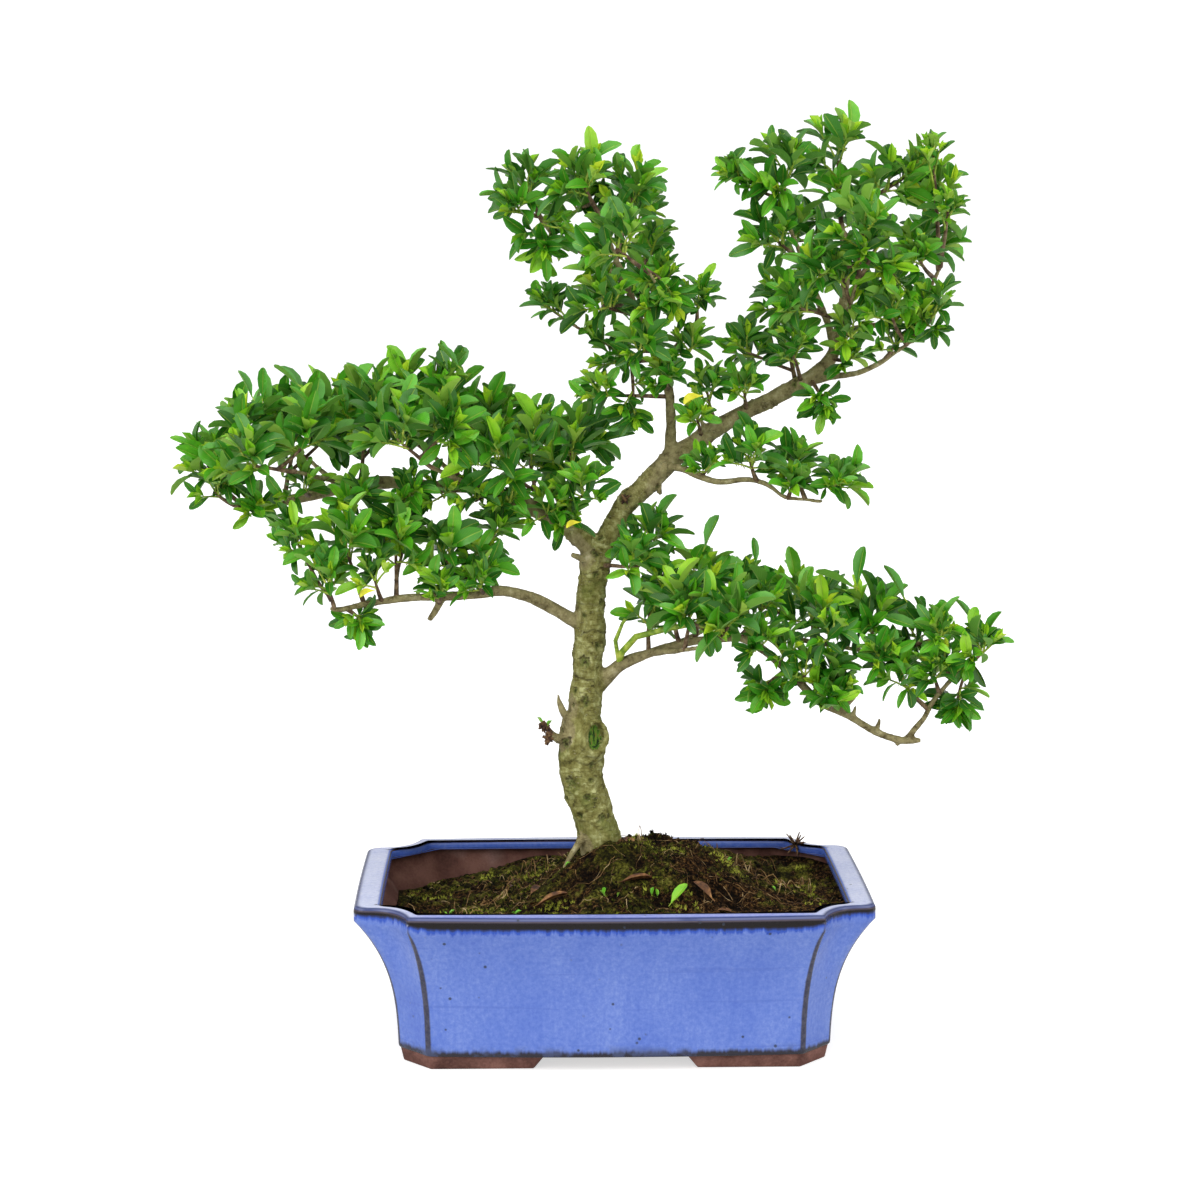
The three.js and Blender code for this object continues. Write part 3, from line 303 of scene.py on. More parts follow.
# %% The lights
def add_light(name, kind, strength, aim):
    """A light that shines along the way it is given."""
    light = bpy.data.lights.new(name, kind)
    light.energy = strength
    holder = bpy.data.objects.new(name, light)
    holder.rotation_euler = aim.to_track_quat("-Z", "Y").to_euler()
    bpy.context.scene.collection.objects.link(holder)
    return holder


CROWN_MIDDLE = Vector((0, 0, 0.25))
for name, at, watts in (("panel_left", (-1.5, -0.9, 1.0), 8), ("panel_right", (1.6, -0.8, 0.9), 6)):
    panel_light = add_light(name, "AREA", watts, CROWN_MIDDLE - Vector(at))
    panel_light.location = at
    panel_light.data.shape = "RECTANGLE"
    panel_light.data.size, panel_light.data.size_y = 0.9, 1.5
soft_sun = add_light("soft_sun", "SUN", 2.9, Vector((0.08, 0.42, -1)))
soft_sun.data.angle = math.radians(120)
print("two light panels and a soft sun")

# %% The white sky
world = bpy.data.worlds.new("studio")
bpy.context.scene.world = world
world.use_nodes = True
sky_nodes, sky_links = world.node_tree.nodes, world.node_tree.links
sky = sky_nodes["Background"]
sky.inputs["Color"].default_value = (1, 1, 1, 1)
sky.inputs["Strength"].default_value = 0.36
backdrop = sky_nodes.new("ShaderNodeBackground")
backdrop.inputs["Color"].default_value = (1, 1, 1, 1)
backdrop.inputs["Strength"].default_value = 1.15
seen = sky_nodes.new("ShaderNodeLightPath")
chosen = sky_nodes.new("ShaderNodeMixShader")
sky_links.new(seen.outputs["Is Camera Ray"], chosen.inputs[0])
sky_links.new(sky.outputs[0], chosen.inputs[1])
sky_links.new(backdrop.outputs[0], chosen.inputs[2])
sky_links.new(chosen.outputs[0], sky_nodes["World Output"].inputs["Surface"])
print("sky strength:", sky.inputs["Strength"].default_value)

# %% [markdown]
# ## The glaze
#
# A blue glaze melts and runs in the kiln. It pools thick and light on the flat panels, breaks thin and brown
# over each sharp edge, and leaves a dark band with short drips under the lip. Fine streaks run downwards,
# and small pits and specks are scattered over it.
#
# A picture of a glaze could be wrapped round the pot, but it would blur close up. Here the height on the
# pot, an attribute that says how near a sharp edge is, and a few noises give all of it at any size.

# %% The glaze's blue
glaze = Finish("blue_glaze")
height = glaze.axis("Z")
streaks = glaze.noise(1, 5, 0.65, at=glaze.place((420, 420, 26)))
broad = glaze.noise(1, 3, 0.5, at=glaze.place((38, 38, 14)))
mottle = glaze.noise(420, 4, 0.65)
cloud = (streaks * 0.25 + broad * 0.5 + mottle * 0.7) / 1.45
body = glaze.ramp(cloud, [
    (0.34, "526EC6"), (0.46, "5F7BCC"), (0.54, "6983D0"), (0.66, "7A92D6"),
])
lines = glaze.noise(1, 2, 0.5, at=glaze.place((7, 7, 420)))
body = glaze.mix(lines.rise(0.62, 0.72) * 0.35, body, "4F69BE")
print("nodes in the blue:", len(glaze.tree.nodes))

# %% The dark band and its drips
lip = glaze.attribute("lip")
panel = glaze.attribute("panel")
outer = 1 - lip.rise(0.02, 0.1)
drip = glaze.noise(1, 3, 0.6, at=glaze.place((300, 300, 8)))
over_band = height + drip * 0.002 - (0.0897 - panel * 0.0022)
deep = (over_band + (drip - 0.5) * 0.007).rise(-0.004, -0.0014)
body = glaze.mix(deep * (0.4 + outer * 0.52), body, "1F4AB4")
ink = (over_band + (drip - 0.5) * 0.002).rise(-0.0016, -0.0003)
body = glaze.mix(ink * outer * 0.85, body, "121F4A")
band = over_band.rise(-0.0006, 0.0006) * (1 - height.rise(0.0909, 0.0914))
# The dark band turns grey-brown towards its top: partly worn glaze, partly a painted highlight under the
# lip's rounded edge.
band_colour_and_highlight = glaze.mix(height.rise(0.0896, 0.0911) * 0.7, "0C0405", "5C5260")
body = glaze.mix(band * outer, body, band_colour_and_highlight)

# %% The bright rim, its lines and a painted highlight line
rim = glaze.attribute("rim")
rim_colour = glaze.ramp(cloud, [(0.36, "BAC2EE"), (0.5, "D2D8F8"), (0.66, "E2E6FC")])
front = panel * (0 - glaze.axis("Y")).rise(0.05, 0.09)
front_colour = glaze.ramp(cloud, [(0.4, "6E80E2"), (0.6, "93A2F0")])
rim_colour = glaze.mix(front * 0.8, rim_colour, front_colour)
body = glaze.mix(rim.rise(0.1, 0.9), body, rim_colour)
# A thin grey line round the outer edge of the lip, over the dark band: partly glaze that runs thin there,
# partly a painted highlight.
thin_glaze_and_highlight = height.rise(0.0912, 0.0915) * (1 - height.rise(0.0921, 0.0926)) * outer
broken = glaze.noise(1, 2, 0.5, at=glaze.place((30, 30, 30))).rise(0.3, 0.5)
body = glaze.mix(thin_glaze_and_highlight * broken * 0.3, body, "8C90B4")
inner_line = lip.rise(0.25, 0.45) * (1 - lip.rise(0.6, 0.8))
body = glaze.mix(inner_line, body, "3A2A26")

# %% The bare edges, a painted highlight at the corners, the foot line and the specks
edge = glaze.attribute("edge")
sharp = (edge + (glaze.noise(90, 4, 0.6) - 0.5) * 0.2).rise(0.44, 0.68)
bare_edge = glaze.ramp(mottle, [(0.4, "2A2322"), (0.62, "443E3C")])
body = glaze.mix(sharp * 0.92, body, bare_edge)
# A painted highlight: pale spots on the corner edges just under the dark band.
painted_highlight = edge.rise(0.25, 0.5) * glaze.noise(200, 2).rise(0.4, 0.6)
painted_highlight = painted_highlight * height.rise(0.0862, 0.0872) * (1 - height.rise(0.0884, 0.0894))
body = glaze.mix(painted_highlight * 0.6, body, "C5CDF2")
foot_line = 1 - (height - drip * 0.005).rise(0.0075, 0.0105)
body = glaze.mix(foot_line, body, "2A2730")
smear = (1 - height.rise(0.010, 0.0165)) * glaze.noise(55, 4, 0.6).rise(0.5, 0.62)
body = glaze.mix(smear * 0.7, body, "4A5578")
speck = 1 - glaze.cells(105).rise(0.07, 0.12)
rare = glaze.noise(33, 2).rise(0.5, 0.56)
body = glaze.mix(speck * rare * 0.85, body, "2A3344")
glaze.set(
    Base_Color=body,
    Roughness=0.16 + mottle * 0.1 + speck * rare * 0.3,
    Coat_Weight=0.25 - band * outer * 0.25,
    Normal=glaze.bump(mottle * 0.5 + broad * 0.6 + streaks * 0.25 - speck * rare * 0.6, 0.0004),
)
glaze.shader.inputs["Coat Roughness"].default_value = 0.06
glaze.shader.inputs["IOR"].default_value = 1.42
print("nodes in the whole glaze:", len(glaze.tree.nodes))

# %% [markdown]
# The feet and the inside are left unglazed: a dense red-brown clay. Inside the pot it is darkened with
# painted shade, and pale, glossier patches higher on the inner wall are a painted reflection.

# %% The bare clay
clay = Finish("bare_clay")
clay_spots = clay.noise(700, 4, 0.6)
clay_cloud = clay.noise(60, 3)
clay_colour = clay.ramp(clay_cloud * 0.7 + clay_spots * 0.3, [
    (0.36, "53342D"), (0.5, "785248"), (0.64, "946A5E"),
])
# Pale, glossier patches on the upper inner wall: a painted reflection.
painted_sheen = clay.noise(24, 3, 0.5).rise(0.52, 0.66) * clay.axis("Z").rise(0.05, 0.075)
# Above the feet the clay is darkened: painted shade inside the pot.
clay_colour = clay.mix(clay.axis("Z").rise(0.01, 0.03) * 0.55, clay_colour, "3E1F17")
clay_colour = clay.mix(painted_sheen * 0.25, clay_colour, "9C7F78")
clay.dull(0.25)
clay.set(
    Base_Color=clay_colour,
    Roughness=0.62 + clay_spots * 0.3 - painted_sheen * 0.25,
    Normal=clay.bump(clay_spots + clay_cloud, 0.0003),
)
print("nodes in the clay:", len(clay.tree.nodes))

# %% [markdown]
# ## The pot's walls
#
# The pot is a long box with cut-off corners. Each corner is a flat face at the foot, and turns into a hollow
# curve as it flares out to the lip. Such a wall is easiest to draw as rings: a ring of points is laid on the
# outline at one height and extruded to the next height, where each point moves to that height's outline.

# %% The pot's measures, in millimetres
FOOT_HEIGHT = 8
FLOOR_TOP = 16
LIP_BOTTOM = 84
WALL = 8.5
GAP = 0.3
PANEL_BOW = 4
DRAIN_SPACING = 140
DRAIN_RADIUS = 10
WAVED_CORNER = [(0, 0), (0.09, 0.3), (0.25, 0.58), (0.5, 0.78), (0.88, 0.85), (1, 1)]


def flare(z):
    rise = min(max((z - FOOT_HEIGHT) / (LIP_BOTTOM - FOOT_HEIGHT), 0), 1)
    return lerp(rise**3, rise, 0.12)


def wall_measures(z, inset=0.0):
    """Half length, half depth, and where the long panel and the short side end, at one height."""
    opened = flare(z)
    return (
        lerp(125, 150, opened) - inset,
        lerp(96, 110, opened) - inset,
        lerp(107.5, 118, opened) - inset / 2,
        lerp(71, 76, opened) - inset / 2,
    )


# %% A smooth curve through points
def spline_point(points, share):
    """The point at a share of a centripetal Catmull-Rom curve, which keeps close to its points."""
    last = len(points) - 1
    span = min(int(share * last), last - 1)
    t = share * last - span
    b, c = points[span], points[span + 1]
    a = points[span - 1] if span > 0 else b * 2 - c
    d = points[span + 2] if span + 2 <= last else c * 2 - b
    before, between, after = [(q - p).length ** 0.5 or 1.0 for p, q in ((a, b), (b, c), (c, d))]
    start = ((b - a) / before - (c - a) / (before + between) + (c - b) / between) * between
    end = ((c - b) / between - (d - b) / (between + after) + (d - c) / after) * between
    return b + start * t + (3 * (c - b) - 2 * start - end) * t**2 + (2 * (b - c) + start + end) * t**3


# %% The outline of a ring
def rounded(points, at, radius):
    """Three points that round off the corner between two straight runs."""
    before, corner, after = points
    near = corner + (before - corner).normalized() * radius
    far = corner + (after - corner).normalized() * radius
    return [near.lerp(corner, t).lerp(corner.lerp(far, t), t) for t in at]


def mirrored(quarter, z):
    """A whole ring from the quarter that runs from the +X axis to the +Y axis."""
    back = quarter[::-1][1:]
    half = quarter + [Vector((-p.x, p.y)) for p in back]
    rest = [Vector((-p.x, -p.y)) for p in half[1:-1]]
    return [Vector((p.x, p.y, z)) for p in half + rest]


def eight_sided(length, depth, panel_end, side_end, z, bows=(0.6, 4.0), waved=0.0, radius=1.8):
    """The outline at one height; waved is how far the corner has turned from a flat face to a curve."""
    side_bow, panel_bow = bows
    panel_y = depth - panel_bow
    shares = [
        Vector((lerp(k / 5, u, waved), lerp(k / 5, v, waved), 0))
        for k, (u, v) in enumerate(WAVED_CORNER)
    ]

    def corner(share):
        bend = spline_point(shares, 1 - share)
        return Vector((lerp(panel_end, length, bend.x), lerp(panel_y, side_end, bend.y)))

    side = [Vector((length + side_bow * (1 - s * s), side_end * s)) for s in (0, 0.3, 0.55, 0.8, 0.93)]
    panel = [
        Vector((panel_end * s, panel_y + panel_bow * (1 - s * s)))
        for s in (0.975, 0.93, 0.85, 0.74, 0.62, 0.48, 0.32, 0.16, 0)
    ]
    at = (0.0, 0.25, 0.5, 0.75, 1.0)
    side_turn = rounded((side[-1], corner(0), corner(0.06)), at, radius)
    panel_turn = rounded((corner(0.94), corner(1), panel[0]), at, radius)
    middle = [corner(s) for s in (0.1, 0.17, 0.25, 0.33, 0.42, 0.5, 0.58, 0.67, 0.75, 0.83, 0.9)]
    return mirrored(side + side_turn + middle + panel_turn + panel, z)


def wall_outline(z, inset=0.0):
    measures = wall_measures(z, inset)
    return eight_sided(*measures, z, (0.6, PANEL_BOW), smoothstep(z, 45, LIP_BOTTOM))


def opening_outline(z, inset=0.0):
    """The inner side of the lip."""
    measures = (134 - inset, 98 - inset, 112 - inset / 2, 72 - inset / 2)
    return eight_sided(*measures, z, (0.4, 1.2), 0.6)


def cavity_outline(z, inset=0.0):
    """The inside of the wall, which follows the outside at the wall's thickness."""
    length, depth, panel_end, side_end = wall_measures(z)
    inset += WALL
    measures = (
        length - inset, depth - inset, panel_end - 2 - (inset + WALL) / 2, side_end - (inset + WALL) / 2,
    )
    return eight_sided(*measures, z, (0.4, 1.2))


print("points in a ring:", len(wall_outline(50)))


# %% Rings extruded one from another
def first_ring(bm, points):
    """A circle of as many points, moved onto the outline."""
    made = bmesh.ops.create_circle(bm, segments=len(points), radius=1)
    ring = sorted(made["verts"], key=lambda v: math.atan2(v.co.y, v.co.x) % (2 * math.pi))
    for vert, point in zip(ring, points):
        vert.co = point
    return ring


def loop_edges(ring):
    pairs = zip(ring, ring[1:] + ring[:1])
    return [next(e for e in a.link_edges if e.other_vert(a) is b) for a, b in pairs]


def next_ring(bm, ring, points):
    """Extrudes a ring and moves each new point to its place on the next outline."""
    made = bmesh.ops.extrude_edge_only(bm, edges=loop_edges(ring))["geom"]
    fresh = {item for item in made if isinstance(item, bmesh.types.BMVert)}
    raised = []
    for vert, point in zip(ring, points):
        copy = next(e.other_vert(vert) for e in vert.link_edges if e.other_vert(vert) in fresh)
        copy.co = point
        raised.append(copy)
    return raised


# %% The pot's profile: each ring's height and how far it is drawn in
FOOT_RINGS = [(8, 1.5), (8.3, 0.7), (9, 0.2), (10, 0)]
WALL_HEIGHTS = [
    13, 17, 22, 27, 32, 37, 42, 46, 50, 54, 58, 62, 65, 68, 71, 74, 76, 78, 80, 82, 84, 86, 88, 89.5,
]
RIM_RINGS = [(90.8, 0.1), (91.6, 0.45), (92.3, 1.05), (92.8, 2), (93, 3.4), (93, 6), (93, 9), (93, 11.5)]
OPENING_RINGS = [
    (93, -2.6), (92.8, -1.5), (92.3, -0.7), (91.5, -0.2), (90.4, 0), (89, 0), (88.4, -0.2), (88, -0.8),
]
CAVITY_RINGS = [
    (87.8, 4), (87.2, 1.2), (86, 0), (82, 0), (78, 0), (74, 0), (69, 0), (62, 0), (54, 0), (42, 0), (30, 0),
    (20, 0), (17.2, 1.2), (16, 4),
]
wall_rings = FOOT_RINGS + [(z, 0) for z in WALL_HEIGHTS]
profile = [
    outline(z, inset)
    for outline, rings in (
        (wall_outline, wall_rings + RIM_RINGS),
        (opening_outline, OPENING_RINGS),
        (cavity_outline, CAVITY_RINGS),
    )
    for z, inset in rings
]
# On each ring from the rim to the end of the opening: how far inwards it lies, and how bright the rim is.
LIP_SHARES = [
    (0, 0), (0, 0), (0, 0.1), (0, 0.35), (0, 0.75), (0, 1), (0, 1), (0, 1),
    (0.05, 0.7), (0.25, 0.1), (0.5, 0), (0.85, 0), (1, 0), (1, 0), (1, 0), (1, 0),
]
print("rings from the foot over the rim to the inner floor:", len(profile))

# %% Raising the pot ring by ring
pot_bm = bmesh.new()
edge_layer, panel_layer, lip_layer, rim_layer = [
    pot_bm.verts.layers.float.new(name) for name in ("edge", "panel", "lip", "rim")
]
rings = [first_ring(pot_bm, profile[0])]
for points in profile[1:]:
    rings.append(next_ring(pot_bm, rings[-1], points))
lip_end = len(wall_rings) + len(LIP_SHARES)
lip_rings = rings[len(wall_rings) : lip_end]
glazed = {vert for ring in rings[1:lip_end] for vert in ring}
print("points in the walls:", len(pot_bm.verts))

# %% [markdown]
# Two drain holes go through the floor. Each flat of the floor is filled between the ring and two circles,
# and the circles above are then bridged with those below, which leaves one closed body.

# %% The floor with its drain holes
hole_rings = []
for z, ring in ((FOOT_HEIGHT, rings[0]), (FLOOR_TOP, rings[-1])):
    edges = loop_edges(ring)
    for side in (-1, 1):
        at = Matrix.Translation((side * DRAIN_SPACING / 2, 0, z))
        circle = bmesh.ops.create_circle(pot_bm, segments=32, radius=DRAIN_RADIUS, matrix=at)
        circle_edges = list(dict.fromkeys(e for v in circle["verts"] for e in v.link_edges))
        hole_rings.append(circle_edges)
        edges += circle_edges
    bmesh.ops.triangle_fill(pot_bm, use_beauty=True, use_dissolve=False, edges=edges)
for below, above in ((0, 2), (1, 3)):
    bmesh.ops.bridge_loops(pot_bm, edges=hole_rings[below] + hole_rings[above])
bmesh.ops.recalc_face_normals(pot_bm, faces=pot_bm.faces)
print("faces of the pot:", len(pot_bm.faces))


# %% Which parts of the wall are near a sharp edge
def edge_share(point):
    """1 on the upright edges of the corners, fading to 0 a few millimetres away."""
    if point.z > LIP_BOTTOM + 6:
        return 0.0
    length, depth, panel_end, side_end = wall_measures(point.z)
    x, y = abs(point.x), abs(point.y)
    near = min(
        math.hypot(x - panel_end, y - (depth - PANEL_BOW)),
        math.hypot(x - length, y - side_end),
    )
    fade = 1 - 0.45 * smoothstep(point.z, 74, 90)
    return fade * max(0.0, 1 - near / 4.4)


def panel_share(point):
    """1 on the long panels, 0 on the corners and the ends."""
    return 1 - smoothstep(abs(point.x), 103, 122)


for vert in pot_bm.verts:
    vert[edge_layer] = edge_share(vert.co)
    vert[panel_layer] = panel_share(vert.co)
for ring, (lip_share, rim_share) in zip(lip_rings, LIP_SHARES):
    for vert in ring:
        vert[lip_layer] = lip_share
        vert[rim_layer] = rim_share
for face in pot_bm.faces:
    face.material_index = 0 if any(vert in glazed for vert in face.verts) else 1
add_piece("pot_body", mesh_of(pot_bm, "pot_body"), [glaze, clay], ["pot"])

# %% [markdown]
# ## The feet
#
# A foot runs along both sides of every corner and tapers towards its ends. It starts as one flat face, is
# extruded up into the body, and gets small rounded edges from a bevel.


# %% Four corner feet
def foot_outline(sign_x, sign_y, z, inset, taper):
    length, depth = 125 - inset, 96 - PANEL_BOW - inset
    points = [
        (length, 30 + taper), (length, 71 - inset / 2), (107.5 - inset / 2, depth), (40 + taper, depth),
        (40 + taper, depth - 14), (99.5, depth - 14), (length - 14, 63), (length - 14, 30 + taper),
    ]
    return [Vector((sign_x * x, sign_y * y, z)) for x, y in points]


feet_bm = bmesh.new()
for sign_x, sign_y in ((1, 1), (-1, 1), (-1, -1), (1, -1)):
    low = foot_outline(sign_x, sign_y, 0, 3, 7)
    high = foot_outline(sign_x, sign_y, FOOT_HEIGHT + 1, 1, 0)
    sole = feet_bm.faces.new([feet_bm.verts.new(point) for point in low])
    raised = bmesh.ops.extrude_face_region(feet_bm, geom=[sole], use_keep_orig=True)["geom"]
    for vert in (v for v in raised if isinstance(v, bmesh.types.BMVert)):
        vert.co = high[min(range(8), key=lambda k: (low[k] - vert.co).length)]
bmesh.ops.recalc_face_normals(feet_bm, faces=feet_bm.faces)
bmesh.ops.bevel(
    feet_bm, geom=feet_bm.edges[:], offset=0.9, offset_type="OFFSET", segments=2, profile=0.5,
    affect="EDGES", material=-1,
)
bmesh.ops.triangulate(feet_bm, faces=[f for f in feet_bm.faces if len(f.verts) > 4])
add_piece("pot_feet", mesh_of(feet_bm, "pot_feet"), [clay], ["pot"])

# %% [markdown]
# ## Drain meshes
#
# A square of plastic mesh lies over each drain hole and keeps the soil in. The wireframe operator turns a
# grid of faces into a lattice of bars in one step.

# %% The two meshes
plastic = Finish("black_plastic")
scuffs = plastic.noise(900, 3)
plastic.set(
    Base_Color=plastic.ramp(scuffs, [(0.4, "1A1B1C"), (0.65, "303234")]),
    Roughness=0.45 + scuffs * 0.3,
    Normal=plastic.bump(scuffs, 0.0001),
)
for side, name in ((-1, "drain_mesh_left"), (1, "drain_mesh_right")):
    lattice = bmesh.new()
    at = Matrix.Translation((side * DRAIN_SPACING / 2, 0, FLOOR_TOP + GAP + 0.6))
    bmesh.ops.create_grid(lattice, x_segments=9, y_segments=9, size=16.4, matrix=at)
    bmesh.ops.wireframe(
        lattice, faces=lattice.faces[:], thickness=1.2, use_replace=True, use_boundary=True,
        use_even_offset=True,
    )
    add_piece(name + "_lattice", mesh_of(lattice, name), [plastic], [name], smooth=False)

# %% [markdown]
# ## Soil
#
# The soil lies low at the left end and rises to a mound round the trunk, with a small heap before it. Its
# crust is crumbly, with moss over most of it, so the top is a fine grid whose points are raised by a few
# sizes of noise. The grid is square, and is pressed into the pot's eight-sided outline point by point.


# %% The height of the soil
def soil_height(x, y):
    rise = smoothstep(x, -115, -25)
    spread = ((x - 20) / 58) ** 2 + ((y - 6) / 62) ** 2
    bumps = 0.9 * math.sin(x / 9 + y / 14) + 0.7 * math.sin(x / 17 - y / 7)
    return 68 + 15 * rise + 24 * math.exp(-spread * spread) + bumps


def crust(x, y):
    """How far lumps and crumbs stand out of the soil."""
    lumps = noise.noise(Vector((x / 14, y / 14, 1.5)))
    clods = noise.noise(Vector((x / 6, y / 6, 7.1)))
    crumbs = noise.noise(Vector((x / 2.9, y / 2.9, 3.3)))
    return 2.6 * lumps + 3.4 * (0.3 - abs(clods)) + 1.7 * crumbs


def soil_top(x, y):
    """The plain soil with a heap before the trunk, a ridge at the back right and a hollow beyond it."""
    heap = math.exp(-(((x + 2) / 27) ** 2) - ((y + 15) / 15) ** 2)
    ridge = smoothstep(x, -2, 26) * (1 - smoothstep(x, 50, 92)) * math.exp(-(((y - 50) / 26) ** 2))
    hollow = math.exp(-(((x - 112) / 22) ** 2) - ((y - 44) / 28) ** 2)
    return soil_height(x, y) + 9 * heap + 3 * ridge - 10 * hollow + crust(x, y)


def edge_of_soil(x, y):
    """Where a line from the middle of the pot through a point meets the cavity's wall."""
    for _ in range(4):  # the wall leans, so each round starts from a better height
        length, depth, panel_end, side_end = wall_measures(min(soil_height(x, y), LIP_BOTTOM))
        inset = WALL + GAP
        length, depth = length - inset, depth - inset - 1.2
        panel_end, side_end = panel_end - 2 - (inset + WALL) / 2, side_end - (inset + WALL) / 2
        u, v = abs(x) or 1e-6, abs(y) or 1e-6
        across, down = length - panel_end, depth - side_end
        chamfer = (down * panel_end + across * depth) / (down * u + across * v)
        reach = min(length / u, depth / v, chamfer)
        x, y = x * reach, y * reach
    return x, y


def square_to_soil(u, v):
    """A point of the square from -1 to 1 pressed into the pot, and how near its edge it is."""
    most = max(abs(u), abs(v))
    x, y = edge_of_soil(u / most * 140, v / most * 100) if most > 1e-9 else (0, 0)
    return x * most, y * most, most


# %% The soil's body
soil_bm = bmesh.new()
raised_layer = soil_bm.verts.layers.float.new("raised")
bmesh.ops.create_grid(soil_bm, x_segments=216, y_segments=154, size=1)
for vert in soil_bm.verts:
    x, y, most = square_to_soil(vert.co.x, vert.co.y)
    settle = smoothstep(1 - most, 0, 0.03)
    vert.co = (x, y, lerp(soil_height(x, y), soil_top(x, y), settle))
    vert[raised_layer] = min(max(0.5 + crust(x, y) / 5, 0), 1)
rim_edges = [e for e in soil_bm.edges if e.is_boundary]
for z in (60, 20, FLOOR_TOP + GAP):
    walls = bmesh.ops.extrude_edge_only(soil_bm, edges=rim_edges)["geom"]
    rim_edges = [e for e in walls if isinstance(e, bmesh.types.BMEdge) and e.is_boundary]
    for vert in {v for e in rim_edges for v in e.verts}:
        shrink = 1 - 0.045 * (z < FLOOR_TOP + 1)
        length, depth, _, _ = wall_measures(z)
        top_length, top_depth, _, _ = wall_measures(min(vert.co.z, LIP_BOTTOM))
        vert.co.x *= shrink * (length - WALL) / (top_length - WALL)
        vert.co.y *= shrink * (depth - WALL) / (top_depth - WALL)
        vert.co.z = z
bmesh.ops.contextual_create(soil_bm, geom=rim_edges)
bmesh.ops.recalc_face_normals(soil_bm, faces=soil_bm.faces)
print("soil:", len(soil_bm.faces), "faces")

# %% [markdown]
# The crust is dark peat, with moss in patches from black-green to fresh green. Whether a place is peat or
# moss depends on a broad noise, with more moss on what stands out of it; the hollows between the lumps are
# darkened with painted shade.

# %% The soil's finish
peat = Finish("mossy_peat")
fine = peat.noise(620, 6, 0.7)
clumps = peat.noise(95, 4, 0.6)
patches = peat.noise(30, 4, 0.6)
ground = peat.ramp(fine, [(0.41, "040200"), (0.51, "2A170A"), (0.62, "745530")])
moss_colour = peat.ramp(fine * 0.6 + clumps * 0.5, [
    (0.44, "0D0B03"), (0.53, "29270A"), (0.61, "504E18"), (0.72, "85833C"),
])
peat.dull(0.1)
raised = peat.attribute("raised")
bare = peat.axis("X").rise(0.03, 0.07) * (0.4 + (0 - peat.axis("Y")).rise(0, 0.04) * 0.6)
mossy = (patches * 0.8 + clumps * 0.4 + raised * 0.35 - bare * 0.16).rise(0.68, 0.88)
crumbled = peat.mix(mossy, ground, moss_colour)
peat.set(
    # The hollows between lumps and crumbs are darkened towards black: painted shade.
    Base_Color=peat.mix((1 - raised).rise(0.4, 0.78) * 0.85, crumbled, "050201"),
    Roughness=0.95,
    Normal=peat.bump(fine + clumps, 0.0018),
)
add_piece("soil_crust", mesh_of(soil_bm, "soil_crust"), [peat], ["soil"])

# %% [markdown]
# ## Crumbs, moss and roots
#
# Loose things on the soil are small and many, so each is one plain shape that is copied with a new size,
# turn and place. A helper adds a copy of a mesh to a growing shape. The seed is fixed, so every run gives
# the same scatter.

# %% Copies of a small shape
CRUMBS = 1500
TUFTS = 2300
THREADS = 190
TRUNK_CLEARANCE = 15


def add_copy(bm, mesh, matrix):
    copy = mesh.copy()
    copy.transform(matrix)
    bm.from_mesh(copy)
    bpy.data.meshes.remove(copy)


def turned(heading, lean=0.0, roll=0.0):
    return Matrix.Rotation(heading, 4, "Z") @ Matrix.Rotation(lean, 4, "Y") @ Matrix.Rotation(roll, 4, "X")


def on_soil(rng, spread=0.97):
    """A random place on the soil's top."""
    while True:
        x, y, _ = square_to_soil(rng.uniform(-1, 1), rng.uniform(-1, 1))
        x, y = x * spread, y * spread
        if math.hypot(x + 5, y) > TRUNK_CLEARANCE:
            return Vector((x, y, soil_top(x, y)))


# %% Crumbs of soil
crumb_shapes = []
for seed in range(4):
    crumb = bmesh.new()
    bmesh.ops.create_icosphere(crumb, subdivisions=1, radius=1)
    for vert in crumb.verts:
        vert.co *= 1 + 0.5 * noise.noise(vert.co * 1.7 + Vector((seed * 5, 0, 0)))
    crumb_shapes.append(mesh_of(crumb, f"crumb_{seed}"))

rng = random.Random(31)
crumbs_bm = bmesh.new()
for _ in range(CRUMBS):
    at = on_soil(rng)
    size = 0.5 + 1.3 * rng.random() ** 2.5
    spin = turned(rng.uniform(0, 6.3), rng.uniform(-1, 1), rng.uniform(-1, 1))
    flat = Matrix.Diagonal((size, size * rng.uniform(0.6, 1), size * rng.uniform(0.5, 0.9), 1))
    add_copy(crumbs_bm, rng.choice(crumb_shapes), Matrix.Translation(at + UP * size * 0.2) @ spin @ flat)
earth = Finish("dry_earth")
dust = earth.noise(480, 4, 0.6)
earth.dull(0.1)
earth.set(
    Base_Color=earth.ramp(dust + (earth.noise(70, 2) - 0.5) * 0.5, [
        (0.38, "060302"), (0.52, "1E130A"), (0.66, "5A4429"),
    ]),
    Roughness=0.95,
    Normal=earth.bump(dust, 0.0006),
)
add_piece("soil_crumbs", mesh_of(crumbs_bm, "soil_crumbs"), [earth])

# %% [markdown]
# Moss is a felt of short shoots. One tuft is a few thin cones that lean outwards, and more than two
# thousand tufts make the soil's fuzzy edge and its bright tips. The front right is left nearly bare.

# %% Tufts of moss
def moss_tuft(rng, blades):
    tuft = bmesh.new()
    for _ in range(blades):
        heading, lean = rng.uniform(0, 6.3), rng.uniform(0.1, 1.1)
        tall = rng.uniform(1.2, 3.0)
        matrix = turned(heading, lean) @ Matrix.Translation((rng.uniform(0, 0.9), 0, tall / 2 - 0.3))
        bmesh.ops.create_cone(
            tuft, cap_ends=True, segments=3, radius1=0.34, radius2=0, depth=tall, matrix=matrix,
        )
    return mesh_of(tuft, "tuft")


